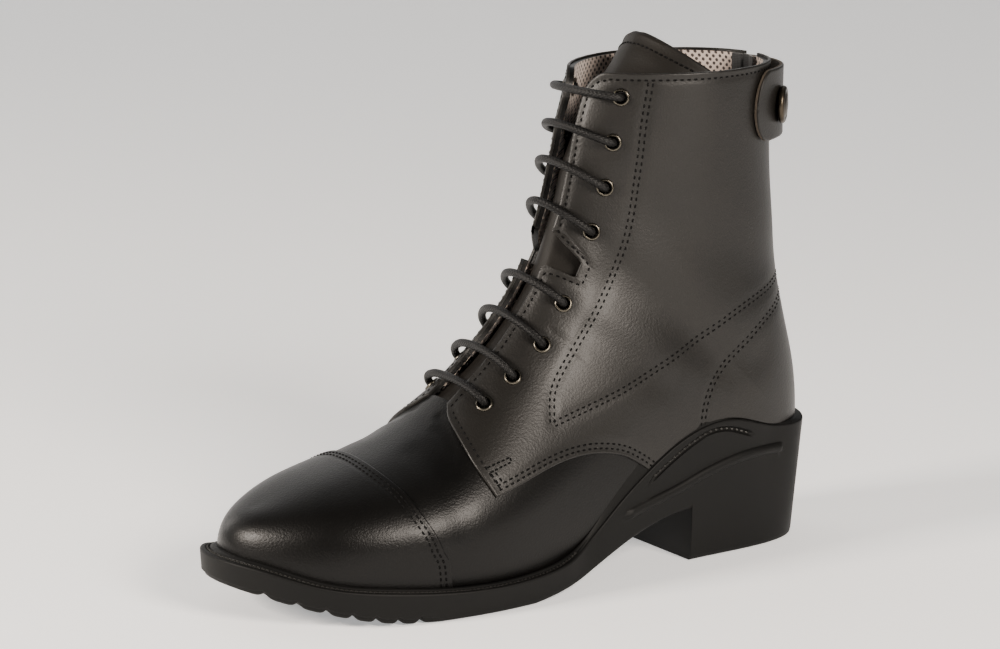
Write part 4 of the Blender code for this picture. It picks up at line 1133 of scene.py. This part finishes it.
# %% Close the sole below and in the cup
count, turn = levels.shape[:2]
ids = np.arange(count * turn).reshape(count, turn)
points = [levels.reshape(-1, 3)]
faces = [grid_quads(np.c_[ids, ids[:, :1]])]
left = np.arange(len(v_sole))
right_side = np.r_[0, np.arange(turn - 1, len(v_sole) - 2, -1)]
right_side[-1] = len(v_sole) - 1
start = count * turn
for level, flip in ((0, 1), (count - 1, -1)):
    a, b = levels[level][left], levels[level][right_side]
    f = np.linspace(0, 1, 15)[None, 1:-1, None]
    strip = a[:, None] * (1 - f) + b[:, None] * f
    if level == 0:
        strip[..., 2] = underside(strip[..., 0]) + lug_notches(strip[..., 0])
    new = start + np.arange(strip.shape[0] * strip.shape[1]).reshape(strip.shape[:2])
    points.append(strip.reshape(-1, 3))
    start += new.size
    across_ids = np.c_[ids[level][left], new, ids[level][right_side]]
    across_ids[0], across_ids[-1] = ids[level][0], ids[level][len(v_sole) - 1]
    faces.append(grid_quads(across_ids)[:, ::flip])
sole = add_mesh("sole_unit_rubber", np.concatenate(points), split_quads(np.concatenate(faces)),
                [SOLE_RUBBER], smooth=35)
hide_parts("sole_unit")

# %% [markdown]
# ## The footbed
# A woven footbed lies in the cup. It shows only from above, so it is a thin cushion with a soft edge.

# %% Footbed
v_bed = np.linspace(0.15, 11.9, 90)
c = sections_at(v_bed)
f = np.linspace(-1, 1, 25)[None]
mid_y = (c["foot_lateral"] + c["foot_medial"]) / 2
half_y = (c["foot_lateral"] - c["foot_medial"]) / 2 - 3.6
bed_y = mid_y[:, None] + np.maximum(half_y, 0.6)[:, None] * f
bed_x = np.broadcast_to((2.6 + (c["foot_x"] + 1.5) * 0.968)[:, None], bed_y.shape)
bed_z = np.broadcast_to(c["foot_z"][:, None], bed_y.shape)
soft = 0.9 * np.abs(f) ** 6
bed_top = np.stack([bed_x, bed_y, bed_z + 3.1 - soft + 0.8 * f ** 2], -1)
bed_low = np.stack([bed_x, bed_y, bed_z + 0.3], -1)
bed = wall("footbed", bed_top, bed_low, [FOOTBED])
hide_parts("insole")

# %% [markdown]
# ## Stitches
# Every stitch is a short length of thread that comes up, lies on the leather and goes down again.
# A texture would stay flat, so each one is a small rounded rod of a few dozen faces. Each group of
# rows is one mesh, worked out together as an array.


# %% Stitch rows
def stitch_rods(middle, ahead, up, length, radius):
    """Rounded rods: rings along each stitch, thin and sunk at both ends, thick and raised between."""
    x = np.array((-1, -0.86, -0.5, 0.0, 0.5, 0.86, 1.0)) * length / 2
    fat = np.array((0.35, 0.75, 1.0, 1.0, 1.0, 0.75, 0.35)) * radius
    rise = np.array((-0.9, -0.25, 0.25, 0.4, 0.25, -0.25, -0.9)) * radius
    angle = np.arange(6) * pi / 3
    side = unit(np.cross(up, ahead))
    up = np.cross(ahead, side)
    ring = (ahead[:, None, None] * x[None, :, None, None]
            + up[:, None, None] * (rise[:, None] + fat[:, None] * np.cos(angle))[None, ..., None]
            + side[:, None, None] * (fat[:, None] * np.sin(angle))[None, ..., None])
    points = middle[:, None, None] + ring
    one = np.arange(42).reshape(7, 6)
    quads = grid_quads(np.c_[one, one[:, :1]])
    caps = np.stack([one[0], one[-1][::-1]])
    shift = np.arange(len(middle))[:, None, None] * 42
    uv = np.stack(np.broadcast_arrays(x[:, None], angle / (2 * pi)), -1).reshape(-1, 2)
    faces = [(quads + shift).reshape(-1, 4), (caps + shift).reshape(-1, 6)]
    return points.reshape(-1, 3), faces, np.tile(uv, (len(middle), 1))


def surface_row(u, v, shift, out, pitch):
    """Stitches on the last along a row of coordinates, moved sideways on the surface by shift."""
    path, normal = row_path(u, v, shift, out)
    middle, direction = evenly(path, pitch)
    run = run_of(path)
    at = (np.arange(len(middle)) + 0.5) * run[-1] / len(middle)
    return middle, direction, normal[np.clip(np.searchsorted(run, at), 0, len(path) - 1)]


def sew(name, rows, length, radius, mat=THREAD):
    """One mesh of stitches from rows of middles, directions and normals."""
    middle, ahead, up = (np.concatenate(parts) for parts in zip(*rows))
    points, faces, uv = stitch_rods(middle, ahead, up, length, radius)
    obj = add_mesh(name, points, faces, [mat], uv=uv)


rows = []
for side in ("lateral", "medial"):
    rows += [surface_row(*row, 0.16, 2.9) for row in thread_paths(side)]
    for line in TACKS:
        for start, end in zip(line[:-1], line[1:]):
            u, v = on_last(*np.linspace(start, end, 12).T)
            rows.append(surface_row(1 - u if side == "medial" else u, v, 0.0, 0.40, 2.0))
cap_line = np.linspace(rim_u(3.7) + 0.01, 1 - rim_u(2.95, "medial") - 0.01, 500)
cap_v = table_at(CAP_SEAM, cap_line)
for d in CAP_ROWS:
    rows.append(surface_row(cap_line, cap_v - d / 27.0, 0.0, 0.30, 2.6))
print("rows of stitches:", len(rows))
sew("upper_stitches", rows, 1.9, 0.42)
v = np.linspace(5.2, 18.3, 1500)
rows = []
for u in (facing_u(v, 1.8), 1 - facing_u(v, 1.8)):
    middle, ahead, up = surface_row(u, v, 0.0, -2.75, 2.9)
    rows.append((middle, ahead, -up))
sew("lining_stitches", rows, 1.7, 0.32, LINING_THREAD)

# %% Stitches of the sole and the tongue
front = np.where(ring_v < 5.9)[0]
path = welt_line[np.r_[front[is_outer[front]][::-1], front[~is_outer[front]][::-1]]] + (0, 0, 0.4)
middle, ahead = evenly(path, 1.9)
rows = [(middle, ahead, np.tile((0.0, 0.0, 1.0), (len(middle), 1)))]
for outer_side in (True, False):
    pick = np.where((is_outer == outer_side) & (ring_x > GROOVE_ENDS[0]) & (ring_x < GROOVE_ENDS[1]))[0]
    groove = np.c_[ring + away * (side_out(groove_z) + 0.2)[:, None], groove_z][pick]
    middle, ahead = evenly(groove, 2.9)
    outwards = np.r_[away[pick[len(pick) // 2]], 0.0]
    rows.append((middle, ahead, np.tile(outwards, (len(middle), 1))))
sew("sole_stitches", rows, 1.6, 0.48, WELT_THREAD)
head = np.concatenate([np.c_[np.linspace(0.80, 0.978, 80), np.full(80, 0.91)],
                       np.c_[np.full(160, 0.981), np.linspace(0.90, -0.90, 160)],
                       np.c_[np.linspace(0.978, 0.80, 80), np.full(80, -0.91)]])
path = tongue_place(head[:, 0], head[:, 1], np.full(len(head), 0.1))
middle, ahead = evenly(path, 2.4)
front = np.tile((0.75, 0.0, 0.66), (len(middle), 1))
sew("tongue_stitches", [(middle, ahead, front)], 1.8, 0.36)

# %% [markdown]
# ## Eyelets and lace
# An eyelet is a short tube of plated brass, rolled over on the outside and on a washer inside.
# The lace is one waxed cord: over the throat as a bar, down through an eyelet, up under the facing
# to the next pair, and back again. Its two ends stay inside at the top.

# %% Eyelets
EYELET_PROFILE = ((2.35, -3.1), (2.35, 0.75), (2.42, 1.15), (2.62, 1.5), (2.95, 1.62), (3.3, 1.5),
                  (3.58, 1.15), (3.7, 0.7), (3.6, 0.5), (2.75, 0.45), (2.75, -2.75), (3.9, -2.8),
                  (4.0, -3.0), (3.9, -3.2), (2.5, -3.25))


def turned(centre, axis, profile, segments):
    """Points and faces of a ring: a closed profile of (radius, height) carried round an axis."""
    axis = unit(axis)
    side = unit(np.cross(axis, (0.02, 0.05, 1.0)))
    up = np.cross(axis, side)
    angle = np.arange(segments) * 2 * pi / segments
    spoke = np.cos(angle)[:, None] * side + np.sin(angle)[:, None] * up
    radius, height = np.array(profile, float).T
    points = centre + radius[:, None, None] * spoke[None] + height[:, None, None] * axis
    ids = np.arange(points.shape[0] * segments).reshape(points.shape[:2])
    ids = np.r_[ids, ids[:1]]
    return points.reshape(-1, 3), grid_quads(np.c_[ids, ids[:, :1]])


points, quads, offset = [], [], 0
for u_eye, v_eye in EYELETS:
    for u in (u_eye, 1 - u_eye):
        ring_points, ring_quads = turned(skin(u, v_eye), last_normal(u, v_eye), EYELET_PROFILE, 28)
        points.append(ring_points)
        quads.append(ring_quads + offset)
        offset += len(ring_points)
eyelets = add_mesh("eyelet_rings", np.concatenate(points), [np.concatenate(quads)], [GUNMETAL], smooth=60)
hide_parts(*["eyelet_%s_%d" % (side, k) for side in ("lateral", "medial") for k in range(1, 9)])

# %% Lace
LACE_RADIUS = 1.7
LACE_OUT = 4.0


def lace_route():
    """Stations of the lace from the top pair down: bar, eyelet, run under the facing, eyelet, next bar."""
    stations, flip = [], True
    for k, (u_eye, v_eye) in enumerate(EYELETS):
        near, far = (1 - u_eye, u_eye) if flip else (u_eye, 1 - u_eye)
        across_bar = np.linspace(0, 1, 13)[1:-1]
        bar_u = near + (far - near) * across_bar
        bar_out = LACE_OUT + 0.3 - 0.9 * np.sin(pi * across_bar) ** 4
        bar_v = v_eye - 0.06 * np.sin(pi * across_bar)
        stations += [(near, v_eye, d) for d in (-4.2, -2.2, 0.2, 2.0)]
        stations += list(zip(bar_u, bar_v, bar_out))
        stations += [(far, v_eye, d) for d in (2.0, 0.2, -2.2, -4.2)]
        if k < 7:
            u_next, v_next = EYELETS[k + 1]
            u_next = 1 - u_next if far > 0.5 else u_next
            for f in (0.3, 0.5, 0.7):
                stations.append((far + (u_next - far) * f, v_eye + (v_next - v_eye) * f, -4.6))
        flip = not flip
    return np.array(stations)


def through(knots, count):
    """Smooth path through knots: a cubic spline of each coordinate over the chord length."""
    t = run_of(knots)
    fine = np.linspace(0, t[-1], count)
    return np.stack([spline(t, knots[:, k], fine) for k in range(3)], -1), t[-1]


route = lace_route()
path, lace_length = through(skin(route[:, 0], route[:, 1], route[:, 2]), 1100)
points, faces, uv = tube(path, LACE_RADIUS, 14)
lace = add_mesh("lace", points, faces, [LACE_CORD], uv=uv)
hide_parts(*["lace_bar_%d" % k for k in range(1, 9)])
print("lace between the top eyelets: %.0f mm" % lace_length)

# %% [markdown]
# ## Strap and snap
# A leather strap goes round the back of the collar over the top of the zip. Its inner end is sewn
# down in a D, its outer end is a round tab with a press stud.

# %% Strap
STRAP_Z, STRAP_HALF, STRAP_THICK = 189.0, 15.0, 2.0
TAB_U, SEWN_U, STRAP_ROWS = 0.178, 0.215, (3.0, 5.2)
STRAP_V = np.linspace(16, 19.8, 90)


def strap_width(s, least=0.0):
    """Share of the full width at s: 1 along the strap and an ellipse at both ends."""
    end = np.clip((np.abs(s) - 0.80) / 0.20, 0, 1)
    return np.sqrt(np.clip(1 - 0.985 * end ** 2, least, 1))


def strap_place(s, z_share, out):
    """Point of the strap: s goes round the back from the tab (-1) to the sewn end (1), z_share up it."""
    u = np.where(s < 0, TAB_U * -s, 1 - SEWN_U * s) % 1.0
    z = STRAP_Z + STRAP_HALF * z_share * strap_width(s)
    heights = last_point(np.linspace(0, 1, 201)[:, None], STRAP_V[None])[..., 2]
    column = np.clip(np.round(u * 200).astype(int), 0, 200)
    v = np.empty_like(z)
    for k in np.unique(column):
        here = column == k
        v[here] = np.interp(z[here], heights[k], STRAP_V)
    stand = 1.1 + 5.1 * np.cos(np.clip(s, -1, 1) * pi / 2) ** 2
    return last_point(u, v) + (stand + out)[..., None] * last_normal(u, v)


s, f = np.meshgrid(np.r_[-1, -0.998, -0.993, np.linspace(-0.985, 0.985, 150), 0.993, 0.998, 1],
                   np.r_[-1, -0.985, -0.955, np.linspace(-0.92, 0.92, 24), 0.955, 0.985, 1], indexing="ij")
to_edge = arc_edge(strap_place(s, f, np.zeros(s.shape)))
sewn = 0.25 * ease(s, 0.60, 0.70) * sum(bell(to_edge - d, 0.9) for d in STRAP_ROWS)
strap = wall("strap_leather", strap_place(s, f, STRAP_THICK - rolled(to_edge, 0.8) - sewn),
             strap_place(s, f, rolled(to_edge, 0.5)), [SHAFT_LEATHER, RAW_EDGE], inner_slot=1, rim_slot=1)
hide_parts("strap")
rows = []
for inset in STRAP_ROWS:
    reach = 1 - inset / STRAP_HALF
    turn_end = np.linspace(-pi / 2, pi / 2, 90)
    arc_s = np.r_[0.70, 0.80 + (0.195 - inset * 0.0042) * np.cos(turn_end), 0.70]
    arc_f = np.r_[-reach, reach * np.sin(turn_end), reach] / strap_width(arc_s, 0.05)
    arc_s, arc_f = np.r_[arc_s, arc_s[0]], np.r_[np.clip(arc_f, -0.95, 0.95), arc_f[0]]
    t = np.linspace(0, 1, len(arc_s))
    fine = np.linspace(0, 1, 500)
    loop_s, loop_f = np.interp(fine, t, arc_s), np.interp(fine, t, arc_f)
    path = strap_place(loop_s, loop_f, np.full(500, STRAP_THICK - 0.1))
    above = strap_place(loop_s, loop_f, np.full(500, STRAP_THICK + 1.0))
    middle, ahead = evenly(path, 2.3)
    rows.append((middle, ahead, np.tile((above - path).mean(0), (len(middle), 1))))
sew("strap_stitches", rows, 1.8, 0.36)

# %% Press stud
SNAP_PROFILE = ((7.0, 0.35), (7.6, 0.6), (7.9, 1.2), (7.85, 2.0), (7.4, 2.6), (6.7, 2.9), (6.0, 2.8),
                (5.6, 2.6), (5.2, 2.65), (4.6, 2.95), (3.5, 3.3), (2.2, 3.5), (1.0, 3.58), (0.08, 3.6),
                (0.08, 0.35))
SNAP_S, SNAP_SHARE = np.full(2, -0.60), np.full(2, -0.06)
seat, above = strap_place(SNAP_S, SNAP_SHARE, STRAP_THICK + np.arange(2))
points, quads = turned(seat, above - seat, SNAP_PROFILE, 48)
snap = add_mesh("press_stud", points, [quads], [SNAP_METAL], smooth=50)
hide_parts("snap_cap")

# %% [markdown]
# ## Zip, stay and pull
# The zip closes the back. Its coil is a row of small nylon turns on each tape, so a turn is modelled
# once and repeated. The slider and the pull keep their solids and get a plated finish.

# %% Zip coil and tape
def back_points(v, y, out):
    """Points beside the back line of the leg: the line, moved outwards by out and sideways by y."""
    zero = np.zeros_like(v)
    sideways = np.stack([zero, zero + y, zero], -1)
    return last_point(zero, v) + np.asarray(out)[..., None] * last_normal(zero, v) + sideways


v_zip = np.linspace(ZIP_V + 0.08, COLLAR_V - 0.05, 160)
across_y = np.array((-7, -5.5, -4.2, -2.7, -2.4, -1.2, 0, 1.2, 2.4, 2.7, 4.2, 5.5, 7.0))
across_out = np.interp(np.abs(across_y), (0, 2.4, 2.7, 7.0), (-2.2, -2.2, -3.3, -4.9))
grid_v, grid_out = np.broadcast_arrays(v_zip[:, None], across_out)
tape = wall("zip_tape", back_points(grid_v, across_y, grid_out),
            back_points(grid_v, across_y, grid_out - 0.8), [ZIP_TAPE])
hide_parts("zip")
line = back_points(np.linspace(ZIP_V + 0.12, COLLAR_V - 0.1, 400), 0.0, np.full(400, -1.75))
middle, ahead = evenly(line, 1.25)
outward = np.cross(ahead, (0.0, 1.0, 0.0))
outward *= np.sign(-outward[:, :1])
turns = np.where(np.arange(len(middle)) % 2 == 0, 1.0, -1.0)[:, None] * (0.0, 0.55, 0.0)
sideways = np.tile((0.0, 1.0, 0.0), (len(middle), 1))
points, faces, uv = stitch_rods(middle + turns, sideways, outward, 3.4, 0.62)
coil = add_mesh("zip_coil", points, faces, [COIL_NYLON], uv=uv)

# %% Solids that keep their form
for name, mat in (("zip_slider", GUNMETAL), ("zip_pull", GUNMETAL), ("heel_tab", STAY_TAPE)):
    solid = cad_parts[name]
    solid.data.materials.clear()
    solid.data.materials.append(mat)
print("solids kept: slider, pull and stay")

# %% [markdown]
# ## The box of the boot
# The box round every shown part of the dressed boot, without the floor, is worked out.
# The dressed boot must stay inside the box of its solids.

# %% Sizes and finish
low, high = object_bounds()
